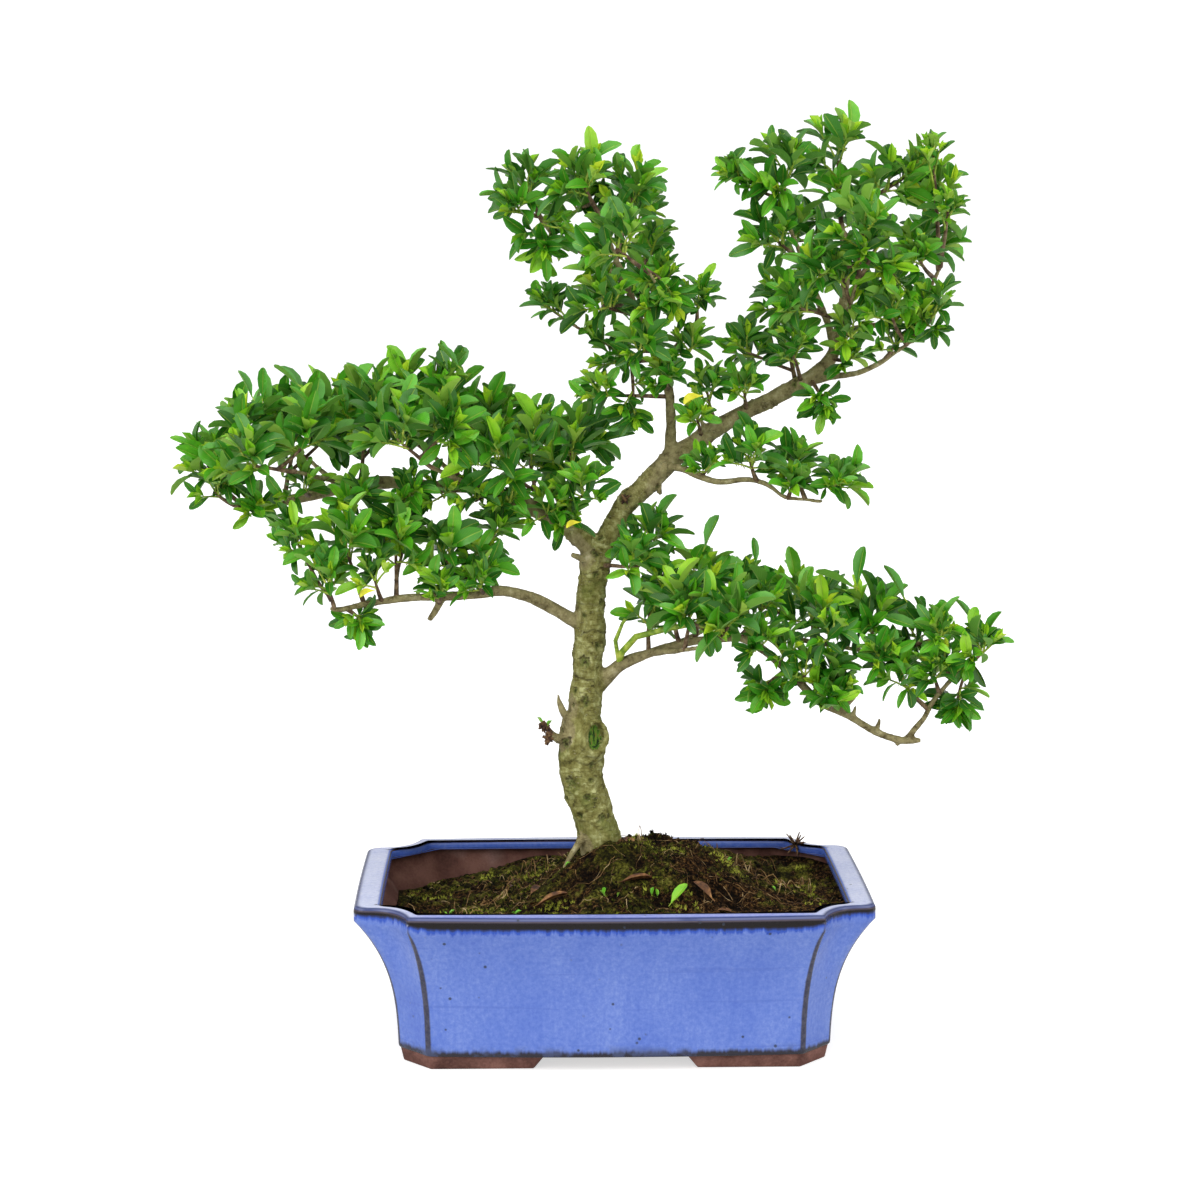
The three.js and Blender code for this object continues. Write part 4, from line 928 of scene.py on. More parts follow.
moss = Finish("moss")
tips = moss.noise(260, 3, 0.6)
moss.dull(0.15)
moss.set(
    Base_Color=moss.ramp(tips + (moss.noise(26, 4) - 0.5) * 1.3, [
        (0.38, "070803"), (0.49, "2C3009"), (0.57, "646A1C"), (0.67, "B8BC4C"),
    ]),
    Roughness=0.8,
)
rng = random.Random(47)
tuft_shapes = [moss_tuft(rng, 8) for _ in range(5)]
moss_bm = bmesh.new()
planted = 0
while planted < TUFTS:
    at = on_soil(rng, 0.95)
    bareness = smoothstep(at.x, 30, 70) * (0.4 + 0.6 * smoothstep(-at.y, 0, 40))
    mossiness = noise.noise(Vector((at.x / 24, at.y / 24, 4.4))) + 0.12 * crust(at.x, at.y)
    if mossiness + rng.uniform(-0.2, 0.2) < 0.34 * bareness:
        continue
    size = rng.uniform(0.6, 1.35)
    shape = rng.choice(tuft_shapes)
    add_copy(moss_bm, shape, Matrix.Translation(at) @ turned(rng.uniform(0, 6.3)) @ Matrix.Scale(size, 4))
    planted += 1
add_piece("moss_tufts", mesh_of(moss_bm, "moss_tufts"), [moss], smooth=False)

# %% [markdown]
# ## Tubes along paths
#
# Roots, stems and limbs are all tapered tubes. A Blender curve with a round bevel makes one with closed
# ends from a path and a radius at each point, and is then turned into a mesh.


# %% Tapered tubes
def tubes(name, runs, rounds=1):
    """One mesh of closed tubes; each run is a list of points with their radius."""
    curve = bpy.data.curves.new(name, "CURVE")
    curve.dimensions = "3D"
    curve.bevel_depth = 1
    curve.bevel_resolution = rounds
    curve.use_fill_caps = True
    for run in runs:
        spline = curve.splines.new("POLY")
        spline.points.add(len(run) - 1)
        spline.points.foreach_set("co", [value for point, _ in run for value in (*point, 1)])
        spline.points.foreach_set("radius", [radius for _, radius in run])
    holder = bpy.data.objects.new(name, curve)
    mesh = bpy.data.meshes.new_from_object(holder)
    bpy.data.objects.remove(holder)
    bpy.data.curves.remove(curve)
    mesh.materials.clear()
    return mesh


# %% Root threads on the soil
THREAD_STEPS = 12
# Where dry roots stand up from the soil that was scratched open: x, y and how many.
DRY_ROOTS = [
    (-48, 36, 9), (-78, 12, 7), (92, 24, 9), (74, 40, 8), (114, 8, 6), (-100, -28, 5), (30, 8, 4),
]


def creeping_path(rng, start, length, loft, wander):
    """A thread that wanders over the soil, turns back at the wall and lifts off here and there."""
    heading = rng.uniform(0, 6.3)
    points = []
    place = start.copy()
    phase = rng.uniform(0, 6.3)
    for k in range(THREAD_STEPS):
        share = k / (THREAD_STEPS - 1)
        heading += rng.uniform(-wander, wander)
        place += Vector((math.cos(heading), math.sin(heading), 0)) * (length / THREAD_STEPS)
        x, _ = edge_of_soil(place.x, place.y)
        if abs(place.x) > 1 and abs(x / place.x) < 1.02:
            place.x, place.y = place.x * 0.97, place.y * 0.97
            heading += 1.2
        lift = loft * max(0.0, math.sin(share * 7 + phase)) * math.sin(math.pi * share)
        points.append(Vector((place.x, place.y, soil_top(place.x, place.y) + 0.2 + lift)))
    return points


def thread(path, thick):
    """A path as a run that thins out towards its end."""
    return [(point, thick * (1 - 0.6 * k / (THREAD_STEPS - 1))) for k, point in enumerate(path)]


rng = random.Random(59)
threads = []
for _ in range(THREADS):
    start = on_soil(rng, 0.92)
    path = creeping_path(rng, start, rng.uniform(8, 44), rng.uniform(0.5, 7) * rng.random(), 0.6)
    threads.append(thread(path, rng.uniform(0.1, 0.26)))
for x, y, count in DRY_ROOTS:
    for _ in range(count):
        start = Vector((x + rng.uniform(-14, 14), y + rng.uniform(-9, 9), 0))
        path = creeping_path(rng, start, rng.uniform(14, 34), rng.uniform(4, 13), 0.35)
        threads.append(thread(path, rng.uniform(0.22, 0.45)))
fibre = Finish("root_threads")
fibre_cloud = fibre.noise(150, 3)
fibre.set(
    Base_Color=fibre.ramp(fibre_cloud, [
        (0.36, "4A3018"), (0.52, "8E6A38"), (0.68, "D8BE8C"),
    ]),
    Roughness=0.7,
)
add_piece("root_threads", tubes("root_threads", threads, 0), [fibre])

# %% [markdown]
# ## The wood
#
# The trunk forks into a long level branch on the left and a rising one on the right. Each limb is a list of
# points with a radius, as if measured with callipers. Their tubes cross each other at the forks, and a
# voxel remesh melts them into one skin, which is what growth does to real forks.

# %% The limbs: the middle and the radius of each ring, from the root end
LIMBS = {
    "trunk": [
        (-3, 0, 66, 14.5), (-5, 0, 95, 13.6), (-6.5, 0, 112, 12.6), (-9.5, 0, 126, 12.3),
        (-14, 0, 140, 12.4),
        (-18, 0, 154, 13), (-18, 0, 166, 13.9), (-17, 0, 176, 14.2), (-17.3, 0, 184, 12.6),
        (-16, 0, 193, 10),
        (-14.8, 0, 209, 9.3), (-14.2, 1, 223, 9.3), (-12.6, 1, 241, 9.7), (-13, 1, 249, 8.7),
        (-12.4, 2, 257, 9.3), (-11.7, 2, 265, 8.6), (-9.3, 2, 284, 9.4), (-7, 2, 297, 7)],
    "surface_root": [
        (-12, -4, 122, 4.0), (-19, -8, 115, 2.5), (-24, -11, 108, 1.9), (-28, -14, 101, 1.4),
        (-31, -17, 93, 1.0)],
    "right_main": [
        (-9, 2, 282, 7.5), (0, 2, 299, 7.2), (8, 3, 315, 6.7), (20, 5, 326.5, 6.5), (34, 8, 340, 6.4),
        (52, 10, 353, 5.7), (66, 13, 362, 5.3), (80, 16, 369, 4.9), (95, 19, 376, 4.8),
        (111, 21, 384.5, 4.9),
        (122, 22, 391, 4.9), (129, 24, 398, 4.2), (134, 25, 407, 3.6), (136, 27, 418, 3.3),
        (139, 29, 438, 2.8), (140, 30, 462, 2.1), (136, 30, 485, 1.5)],
    "top_left": [
        (133, 25, 405, 2.6), (129, 22, 420, 2.3), (122, 20, 436, 2.1), (114, 16, 456, 1.8),
        (106, 12, 474, 1.5), (99, 8, 488, 1.2)],
    "top_right": [
        (135, 26, 413, 2.4), (148, 26, 418, 2), (164, 26, 421, 1.8), (176, 26, 428, 1.6),
        (188, 24, 440, 1.4), (195, 22, 454, 1.1)],
    "top_low_right": [
        (119, 21, 387, 2.6), (133, 16, 390, 2.1), (145, 12, 392, 1.9), (157, 8, 397.5, 1.7),
        (167, 3, 405, 1.4), (177, -2, 412, 1.1)],
    "top_back": [(136, 26, 419, 2.4), (140, 46, 432, 1.9), (142, 64, 448, 1.6), (142, 77, 464, 1.2)],
    "top_front": [(133, 25, 407, 2.4), (136, 4, 420, 1.9), (138, -16, 434, 1.6), (140, -32, 449, 1.2)],
    "centre": [
        (33, 8, 337, 4.2), (34.5, 8, 347, 3.6), (35, 6, 366, 3.1), (33, 4, 386, 2.9), (28, 3, 400, 2.7),
        (20, 2, 417, 2.6), (13, 1, 432, 2.5), (8, 0, 447, 2.2), (2, 0, 460, 1.9), (-4, -2, 476, 1.6),
        (-9, -3, 489, 1.2)],
    "centre_left": [
        (9, 0, 445, 2.2), (-8, 2, 457, 1.8), (-22, 3, 466, 1.7), (-34, 4, 473, 1.5), (-42, 5, 484, 1.2)],
    "centre_back": [(14, 1, 430, 2), (20, 22, 442, 1.6), (24, 40, 454, 1.4), (22, 54, 468, 1.1)],
    "centre_front": [(19, 2, 418, 2), (26, -18, 430, 1.6), (26, -34, 441, 1.3), (20, -46, 453, 1.1)],
    "centre_right": [(29, 3, 398, 2), (40, 0, 411, 1.5), (50, -4, 423, 1.2)],
    "left_main": [
        (-8, 2, 285, 7), (-16, 2, 295, 7), (-24, 3, 301, 6.4), (-36, 4, 308, 5.6), (-48, 6, 314, 5),
        (-60, 7, 319, 4.4), (-82, 11, 325, 4), (-106, 13, 325, 4), (-120, 14, 327, 4), (-144, 16, 327, 4),
        (-160, 17, 323.5, 3.5), (-176, 18, 320, 3.2), (-190, 19, 317, 3.1), (-203, 20, 314.5, 3),
        (-216, 20, 314, 2.8), (-220, 20, 312.5, 2)],
    "left_front": [(-64, 8, 320, 2.8), (-78, -8, 327, 2.1), (-92, -24, 334, 1.8), (-104, -38, 341, 1.4)],
    "left_back": [(-84, 11, 325, 2.8), (-92, 28, 330, 2.1), (-101, 44, 336, 1.8), (-109, 56, 342, 1.4)],
    "left_front_far": [
        (-150, 16, 326, 2.6), (-162, 0, 330, 1.9), (-174, -14, 334, 1.6), (-184, -25, 338, 1.2)],
    "left_back_far": [
        (-160, 17, 324, 2.6), (-168, 32, 329, 1.9), (-176, 46, 334, 1.6), (-183, 57, 339, 1.2)],
    "inner_back": [(-24, 3, 301, 3), (-29, 20, 311, 2.1), (-33, 35, 320, 1.7), (-35, 46, 329, 1.3)],
    "left_lower": [
        (-14, 0, 242, 4.4), (-22, -2, 247, 4), (-42, -8, 259, 3.7), (-54, -12, 264, 3.3),
        (-66, -15, 266.5, 3.1), (-80, -20, 265, 2.9), (-99, -27, 265, 2.7), (-122, -35, 265, 2.5),
        (-134, -38, 263.5, 2.2), (-146, -42, 262, 2), (-157, -46, 260, 1.8), (-163, -49, 261, 1.5)],
    "right_lower": [
        (-12, 0, 205, 5), (-4, 0, 212, 4.9), (4, -2, 219.5, 4), (14, -5, 225, 3.3), (26, -8, 229.5, 2.9),
        (38, -10, 233.5, 2.6), (52, -12, 236.5, 2.4), (66, -15, 238, 2.3), (75, -18, 238.5, 2.5),
        (86, -20, 233.5, 2.6), (98, -21, 224, 2.5), (107, -22, 216, 2.5), (115, -25, 207.5, 2.4),
        (124, -28, 200.5, 2.4), (139, -30, 193.5, 2.3), (149, -32, 187.5, 2.3), (159, -35, 183, 2.2),
        (171, -38, 180.5, 2.2), (179, -40, 181.5, 1.6)],
    "right_lower_turn": [
        (170, -38, 180, 2.2), (176, -39, 188, 1.9), (181, -40, 194.5, 1.8), (186, -40, 204, 1.6),
        (193, -40, 213, 1.4), (202, -40, 223, 1.1)],
    "right_lower_inner": [
        (76, -18, 238, 2.4), (90, -14, 239, 1.9), (112, -10, 236, 1.7), (138, -8, 231, 1.5),
        (162, -8, 228, 1.3), (174, -9, 231, 1.1)],
    "right_lower_back": [
        (37, -10, 233, 2.4), (50, 12, 236, 1.8), (64, 32, 240, 1.6), (82, 48, 242, 1.3),
        (100, 55, 242, 1.1)],
    "right_lower_front": [(25, -8, 229, 2.6), (34, -26, 232, 1.8), (46, -42, 236, 1.4), (58, -50, 240, 1.1)],
    "right_middle": [
        (31, 6, 337, 3), (41, -8, 337.5, 2.4), (60, -15, 330.5, 1.9), (79, -15, 331.5, 1.8),
        (90, -17, 329, 1.6), (100, -20, 322, 1.4), (112, -22, 320.5, 1.2), (122, -24, 319.5, 1.1)],
    "cut_stub": [(-99, -27, 265, 2.4), (-103, -28, 257, 2.1), (-107, -29, 251, 1.8)],
    "fork_stub": [(-14, -4, 283, 2.6), (-24, -8, 287, 1.6)],
    "broken_stub": [(-22, -5, 176, 3.4), (-33, -9, 178, 2.6), (-37, -10, 183, 1.5)],
    "thorn_stub": [(-22, -5, 184, 3.4), (-28, -8, 192, 2.4), (-31, -9, 199, 1.6), (-32, -9, 204, 0.8)],
    "side_twig": [(132, -29, 197, 1.8), (139, -31, 203, 1.5), (144, -32, 210, 1.2)],
    "bud_stub_1": [(140, -30, 193, 1.7), (142, -31, 200, 1.0)],
    "bud_stub_2": [(154, -33.5, 185.5, 1.8), (156, -34, 193, 1.1)],
    "bud_stub_3": [(165, -36.5, 182, 1.5), (166, -37, 177, 0.9)],
    "under_stub": [(26, 4, 332, 2.4), (29, 2, 321, 1.3)],
    "upper_stub": [(58, 11, 355, 2.2), (52, 9, 366, 1.3)],
}
# The creases round the trunk: their height and how deep they are, from 0 to 1.
TRUNK_RINGS = [
    (257, 0.8), (264, 0.4), (241, 1.0), (234, 0.5), (214, 1.0), (206, 0.4), (164, 0.8), (190, 0.5),
    (131, 0.4),
]
SCAR_MIDDLE, SCAR_WIDTH, SCAR_HEIGHT = Vector((-10, -12, 178.5)), 13, 20
SCAR_TURN = Matrix.Translation(SCAR_MIDDLE) @ Matrix.Rotation(math.radians(24), 4, "Z")
SKIN_CELL = 1.0


def limb_points(name):
    return [Vector(row[:3]) for row in LIMBS[name]]


def limb_run(name, step=2.5):
    """The limb as closely spaced points on a smooth curve, each with its radius."""
    rows, points = LIMBS[name], limb_points(name)
    last = len(points) - 1
    run = []
    for k in range(last):
        parts = max(2, round((points[k + 1] - points[k]).length / step))
        for i in range(parts + (k == last - 1)):
            share = (k + i / parts) / last
            radius = lerp(rows[k][3], rows[k + 1][3], smoothstep(i / parts, 0, 1))
            run.append((spline_point(points, share), radius))
    return run


def scar_oval(point):
    """0 in the middle of the old pruning cut and 1 on its ring; on the trunk's far side there is none."""
    local = SCAR_TURN.inverted() @ point
    return math.hypot(local.x / (SCAR_WIDTH / 2), local.z / (SCAR_HEIGHT / 2)) if local.y < 6 else math.inf


limb_runs = {name: limb_run(name) for name in LIMBS}
print("limbs:", len(limb_runs), "with", sum(len(run) for run in limb_runs.values()), "rings")

# %% Melting the limbs into one skin
callus = []
for k in range(25):
    turn = 2 * math.pi * k / 24
    callus.append((
        SCAR_TURN @ Vector((SCAR_WIDTH / 2 * math.cos(turn), 0, SCAR_HEIGHT / 2 * math.sin(turn))),
        2.2 + 0.35 * math.sin(3 * turn + 1),
    ))
wood_bm = bmesh.new()
wood_bm.from_mesh(tubes("limbs", limb_runs.values(), 4))
wood_bm.from_mesh(tubes("callus", [callus], 4))
holder = bpy.data.objects.new("limbs", mesh_of(wood_bm, "limbs"))
bpy.context.scene.collection.objects.link(holder)
melt = holder.modifiers.new("melt", "REMESH")
melt.mode = "VOXEL"
melt.voxel_size = SKIN_CELL
bpy.context.view_layer.update()
wood_mesh = bpy.data.meshes.new_from_object(holder.evaluated_get(bpy.context.evaluated_depsgraph_get()))
bpy.data.objects.remove(holder)
print("wood after melting:", len(wood_mesh.vertices), "points")

# %% [markdown]
# ## Bark
#
# Holly bark is smooth and thin, with fine cross wrinkles, small raised pores and round bumps where shoots
# once grew. The wrinkles run round a limb, whatever its direction, so each point of the skin is told how
# far along its limb it lies. A search tree over the limbs' middle lines finds that quickly.

# %% Points along the limbs
def search_tree(points):
    """Finds the nearest of many points fast."""
    found = kdtree.KDTree(len(points))
    for k, point in enumerate(points):
        found.insert(point, k)
    found.balance()
    return found


def inside_another(name, point):
    """Whether a limb's point lies within a thicker limb, where it doesn't reach the skin."""
    return any(
        (point - other).length < 0.9 * radius
        for other_name, run in limb_runs.items() if other_name != name
        for other, radius in run
    )


line_points = []
for name, run in limb_runs.items():
    travelled = 0.0
    for k, (point, radius) in enumerate(run):
        travelled += (point - run[k - 1][0]).length if k else 0
        if name == "trunk" or not inside_another(name, point):
            line_points.append((point, travelled, radius))
line_tree = search_tree([point for point, _, _ in line_points])
print("points along the limbs:", len(line_points))

# %% [markdown]
# Where a bud once stood, the bark has an oval knot: a low ring round a pit, which the bark darkens with
# painted shade, deepest on its upper side. The ones on the front are placed one by one, and the rest are
# scattered over the trunk and the thick limbs.


# %% Placing the knots
TRUNK_RADIUS = 6


def on_skin(x, z):
    """The point on the front of the trunk at a given width and height."""
    trunk = [row for row in line_points if row[2] > TRUNK_RADIUS]
    middle, _, radius = min(trunk, key=lambda row: abs(row[0].z - z) + 0.2 * abs(row[0].x - x))
    across = min(max(x - middle.x, -0.95 * radius), 0.95 * radius)
    return Vector((middle.x + across, middle.y - math.sqrt(radius**2 - across**2), z))


# The knots on the front: x, height and radius.
KNOTS = [
    (-10, 287, 3.4), (-9, 275, 2.6), (-16, 223, 4.2), (-15, 199, 3.8), (-27, 174, 4.6), (-25, 151, 4.2),
    (-6, 258, 2.4), (-12, 162, 2.4), (-30, 140, 2.8), (-21, 119, 3.4), (-6, 129, 3.2), (-7, 296, 2.6),
    (-22, 206, 2.2), (-8, 232, 2.8), (-15, 142, 3.0), (-10, 108, 3.0), (-17, 250, 2.4), (8, 319, 4.4),
    (-12, 152, 2.2), (-19, 131, 2.4),
]
knots = [(on_skin(x, z), size) for x, z, size in KNOTS]
rng = random.Random(19)
thick_points = [row for row in line_points if row[2] > 4.5]
for _ in range(60):
    middle, _, radius = rng.choice(thick_points)
    around = Vector((rng.uniform(-1, 1), rng.uniform(-0.4, 1), rng.uniform(-0.5, 0.5))).normalized()
    knots.append((middle + around * radius, rng.uniform(1.4, 3.0)))
knot_tree = search_tree([point for point, _ in knots])
print("knots:", len(knots))


# %% Shaping the bark
def hill(distance, width):
    """1 in the middle, fading to 0 on both sides."""
    return math.exp(-((distance / width) ** 2))


def knot_at(spot):
    """How near a point is to the nearest knot: its ring, its inside and its pit, deepest on top; the pit is
    pressed in and also darkens the bark as painted shade.
    """
    middle, k, _ = knot_tree.find(spot)
    off, size = spot - middle, knots[k][1]
    ring = math.hypot(off.x, off.y, off.z / 1.2) / size + 0.55 * noise.noise(spot / 2.4)
    upper = 0.35 + 0.65 * smoothstep(off.z, -size, size)
    pit = 0.85 * upper * hill(ring - 0.72, 0.2) + 0.8 * hill(ring, 0.34)
    return ring, 1 - smoothstep(ring, 0.45, 0.75), pit


def crease_at(spot):
    """How deep the creases round the trunk are at a point; they stray up and down a little."""
    wobble = 3.2 * noise.noise(spot / 13) + 1.2 * noise.noise(spot / 4)
    away = [(abs(spot.z - height - wobble), depth) for height, depth in TRUNK_RINGS]
    return max(depth * (0.45 * hill(distance, 0.8) + 0.3 * hill(distance, 3.5)) for distance, depth in away)


wood_bm = bmesh.new()
wood_bm.from_mesh(wood_mesh)
for _ in range(2):
    bmesh.ops.smooth_vert(
        wood_bm, verts=wood_bm.verts, factor=0.5, use_axis_x=True, use_axis_y=True, use_axis_z=True
    )
wood_bm.normal_update()
along_layer, thick_layer, pit_layer, knot_layer = [
    wood_bm.verts.layers.float.new(name) for name in ("along", "thick", "pit", "knot")
]
for vert in wood_bm.verts:
    spot = vert.co
    _, nearest, _ = line_tree.find(spot)
    _, travelled, radius = line_points[nearest]
    near_by = line_tree.find_n(spot, 6)
    share = min(sum(line_points[k][2] for _, k, _ in near_by) / len(near_by) / 9, 1.0)
    ring, inside, pit = knot_at(spot)
    if radius > TRUNK_RADIUS:
        pit = max(pit, crease_at(spot))
    rings = noise.noise(Vector((spot.x / 11, spot.y / 11, travelled / 1.7)))
    lumps = noise.noise(spot / 9)
    pores = max(0.0, noise.noise(Vector((spot.x / 2.6, spot.y / 2.6, spot.z / 1.5))) - 0.25)
    push = share * (0.45 * rings + 1.0 * lumps + 1.1 * pores) + (1 - share) * 0.22 * lumps
    push += 0.8 * hill(ring - 1.05, 0.25) - 0.8 * pit - 0.4 * inside
    oval = scar_oval(spot)
    if oval < 0.85:
        push -= 2.4 * (1 - smoothstep(oval, 0.45, 0.85)) + 0.5 * noise.noise(spot / 1.3)
    vert[along_layer] = travelled * 0.001
    vert[thick_layer] = share
    vert[pit_layer] = pit
    vert[knot_layer] = inside
    vert.co = spot + vert.normal * push
print("bark points:", len(wood_bm.verts))

# %% The bark's finish
bark = Finish("holly_bark")
along = bark.attribute("along")
thick = bark.attribute("thick")
bark_place = bark.node("ShaderNodeTexCoord").outputs["Object"]
split = bark.node("ShaderNodeSeparateXYZ", None, {0: bark_place})
round_limb = bark.node("ShaderNodeCombineXYZ", None, {
    "X": Amount(bark, split.outputs["X"]) * 190,
    "Y": Amount(bark, split.outputs["Y"]) * 190,
    "Z": along * 720,
}).outputs[0]
wrinkles = bark.noise(1, 4, 0.6, at=round_limb)
algae = bark.noise(46, 4, 0.6)
grains = bark.noise(900, 4, 0.6)
cloudy = bark.noise(170, 6, 0.7)
old = bark.ramp(wrinkles * 0.4 + cloudy * 0.6, [
    (0.36, "3E3A1A"), (0.45, "757038"), (0.54, "969458"), (0.63, "C4C58A"),
])
old = bark.mix(algae.rise(0.5, 0.66) * 0.45, old, "6B7632")
young = bark.ramp(wrinkles * 0.2 + cloudy * 0.8, [
    (0.36, "544A2C"), (0.46, "857B55"), (0.56, "9F9569"), (0.68, "C2B995"),
])
colour = bark.mix((thick - bark.axis("Z") * 0.7).rise(0.3, 0.62), young, old)
pore = 1 - bark.cells(1, at=bark.place((330, 330, 620))).rise(0.16, 0.3)
pore = pore * bark.noise(90, 2).rise(0.48, 0.56)
colour = bark.mix(pore * 0.5, colour, "B9B184")
cracks = (1 - wrinkles.rise(0.3, 0.42)) * thick.rise(0.5, 0.9)
colour = bark.mix(cracks * 0.7, colour, "3F3A20")
knot_colour = bark.ramp(grains * 0.5 + cloudy * 0.5, [
    (0.4, "262E0E"), (0.5, "59682A"), (0.6, "8C8A52"),
])
colour = bark.mix(bark.attribute("knot") * 0.8, colour, knot_colour)
# The knots' pits and the creases round the trunk are darkened, most on a knot's upper side: painted shade.
painted_pit_shade = (bark.attribute("pit") + (cloudy - 0.5) * 0.7).rise(0.25, 0.85)
colour = bark.mix(painted_pit_shade * 0.85, colour, "2E2510")
bark.dull(0.25)
bark.set(
    Base_Color=colour,
    Roughness=0.72 + grains * 0.2,
    Normal=bark.bump(wrinkles * (thick * 0.6 + 0.1) + grains * 0.3 + pore * 0.8 + cloudy * 0.6, 0.0008),
)

# %% [markdown]
# The old pruning cut has healed to a ring round a hollow. Its floor is dead wood: green-black at the rim,
# brown inside. It gets a material of its own on the faces within the ring.

# %% The floor of the pruning cut
dead_wood = Finish("cut_wood")
fibres = dead_wood.noise(1, 4, 0.6, at=dead_wood.place((700, 700, 180)))
dead_wood.set(
    Base_Color=dead_wood.ramp(fibres, [
        (0.38, "142206"), (0.47, "3A5E14"), (0.55, "6C9A2A"), (0.66, "8A7438"),
    ]),
    Roughness=0.85,
    Normal=dead_wood.bump(fibres, 0.0008),
)
for face in wood_bm.faces:
    if scar_oval(face.calc_center_median()) < 0.72:
        face.material_index = 1
add_piece(
    "bark_skin", mesh_of(wood_bm, "bark_skin"), [bark, dead_wood], ["trunk_and_branches"]
)

# %% [markdown]
# ## Leaves
#
# A holly leaf is a small stiff blade, widest past its middle, folded a little along its midrib and arched
# towards its tip. A grid of faces is bent into that shape and given a thin wall, so it stays a closed body.
# Six blades that differ in arch and twist are enough: each copy also gets its own length, width and turn.


# %% One blade
def blade_shape(name, arch, fold, twist, columns=(-0.1, 0.06, 0.2, 0.38, 0.6, 0.82, 0.96, 1.0)):
    """A closed blade of length 1 along X, with its upper face to +Z and a width of 1."""
    blade = bmesh.new()
    uv_layer = blade.loops.layers.uv.new("UVMap")
    last = len(columns) - 1
    bmesh.ops.create_grid(blade, x_segments=last, y_segments=2, size=0.5)
    for face in blade.faces:
        for loop in face.loops:
            loop[uv_layer].uv = (loop.vert.co.x + 0.5, loop.vert.co.y + 0.5)
    for vert in blade.verts:
        share = columns[round((vert.co.x + 0.5) * last)]
        across = vert.co.y * 2
        within = min(max(share, 0.0), 1.0)
        skewed = within**1.45  # the widest place lies past the middle
        half = 0.5 * (4 * skewed * (1 - skewed)) ** 0.62 * (0.45 + 0.55 * smoothstep(within, 0, 0.4))
        half = max(half, 0.045 if share < 0.5 else 0.015)
        lift = arch * (within - 1.6 * within**2) + fold * abs(across) * half + twist * across * half * share
        vert.co = (share, across * half, lift)
    bmesh.ops.recalc_face_normals(blade, faces=blade.faces)
    if sum(face.normal.z for face in blade.faces) < 0:
        bmesh.ops.reverse_faces(blade, faces=blade.faces)
    margin = {vert for edge in blade.edges if edge.is_boundary for vert in edge.verts}
    made = bmesh.ops.duplicate(blade, geom=blade.faces[:])
    under = [item for item in made["geom"] if isinstance(item, bmesh.types.BMFace)]
    bmesh.ops.reverse_faces(blade, faces=under)
    for face in under:
        face.material_index = 1
    lower = {vert for face in under for vert in face.verts}
    for vert in lower:
        if not any(edge.is_boundary for edge in vert.link_edges):
            vert.co.z -= 0.035
    seam = [vert for vert in blade.verts if vert in margin or vert in lower]
    bmesh.ops.remove_doubles(blade, verts=seam, dist=0.001)
    for edge in blade.edges:
        ends = [vert.co for vert in edge.verts]
        edge.smooth = len({face.material_index for face in edge.link_faces}) == 1 and (
            max(abs(end.y) for end in ends) > 0.001
        )
    return mesh_of(blade, name)


BENDS = [
    (0.06, 0.26, 0.10), (0.11, 0.20, -0.15), (0.18, 0.34, 0.22), (0.24, 0.24, -0.1), (0.13, 0.40, 0.0),
    (0.28, 0.16, 0.3),
]
BLADES = [blade_shape(f"blade_{k}", *bends) for k, bends in enumerate(BENDS)]
YOUNG_BLADES = [
    blade_shape(f"young_blade_{k}", arch, 0.5, twist, (-0.08, 0.1, 0.4, 0.75, 1.0))
    for k, (arch, twist) in enumerate([(0.04, 0.1), (0.12, -0.2)])
]
print("blade:", [len(blade.polygons) for blade in BLADES + YOUNG_BLADES], "faces")

# %% [markdown]
# The upper face is deep green and glossy, with a pale midrib and faint side veins. Young leaves are bright
# yellow-green. Two attributes on every leaf, its age and its tone, choose the colour, so no two neighbours
# look alike. The underside is paler and dull.


# %% The leaf's finishes
def leaf_finish(name, ages, gloss, vein_shade, vein_share):
    leaf = Finish(name)
    age = leaf.attribute("age")
    tone = leaf.attribute("tone")
    uv = leaf.node("ShaderNodeUVMap").outputs[0]
    split = leaf.node("ShaderNodeSeparateXYZ", None, {0: uv})
    share, across = Amount(leaf, split.outputs["X"]), Amount(leaf, split.outputs["Y"])
    off_rib = abs(across - 0.5)
    rib = 1 - off_rib.rise(0.012, 0.06)
    veins = (1 - abs((share * 46 - off_rib * 30).sine()).rise(0.0, 0.35)) * (1 - off_rib.rise(0.3, 0.46))
    patchy = leaf.noise(150, 3)
    base = leaf.ramp(age + (patchy - 0.5) * 0.3, ages)
    base = leaf.mix(tone * 0.35, base, leaf.mix(1.0, base, base, "SCREEN"))
    stalk = 1 - share.rise(0.06, 0.2)
    base = leaf.mix(rib * vein_share + veins * vein_share * 0.2, base, vein_shade)
    base = leaf.mix(stalk * 0.85, base, "BFD04E")
    leaf.set(
        Base_Color=base,
        Roughness=gloss + patchy * 0.12,
        Normal=leaf.bump((1 - rib) * 0.8 - veins * 0.3 + patchy * 0.3, 0.00022),
    )
    leaf.dull(0.9)
    leaf.shader.inputs["Specular Tint"].default_value = shade("DDF2C4")
    return leaf


leaf_upper = leaf_finish("leaf_upper", [
    (0.0, "CFE63C"), (0.2, "98D22C"), (0.42, "55A81E"), (0.7, "2E7C12"),
    (1.0, "1A5A0E"),
], 0.24, "B6D85C", 0.55)
leaf_under = leaf_finish("leaf_under", [
    (0.0, "B8DC50"), (0.5, "72AC38"), (1.0, "4E8A2C"),
], 0.5, "BFDD80", 0.5)

twig_bark = cloudy_finish("twig_bark", 260, 4, 0.6, ("3C2C1E", "6C543A", "968264"), 0.8, 0.0005)
green_shoot = cloudy_finish("green_shoot", 200, 3, 0.5, ("6C8C20", "98B634", "C4CE5C"), 0.55, 0.0003)
print("nodes in a leaf's upper face:", len(leaf_upper.tree.nodes))

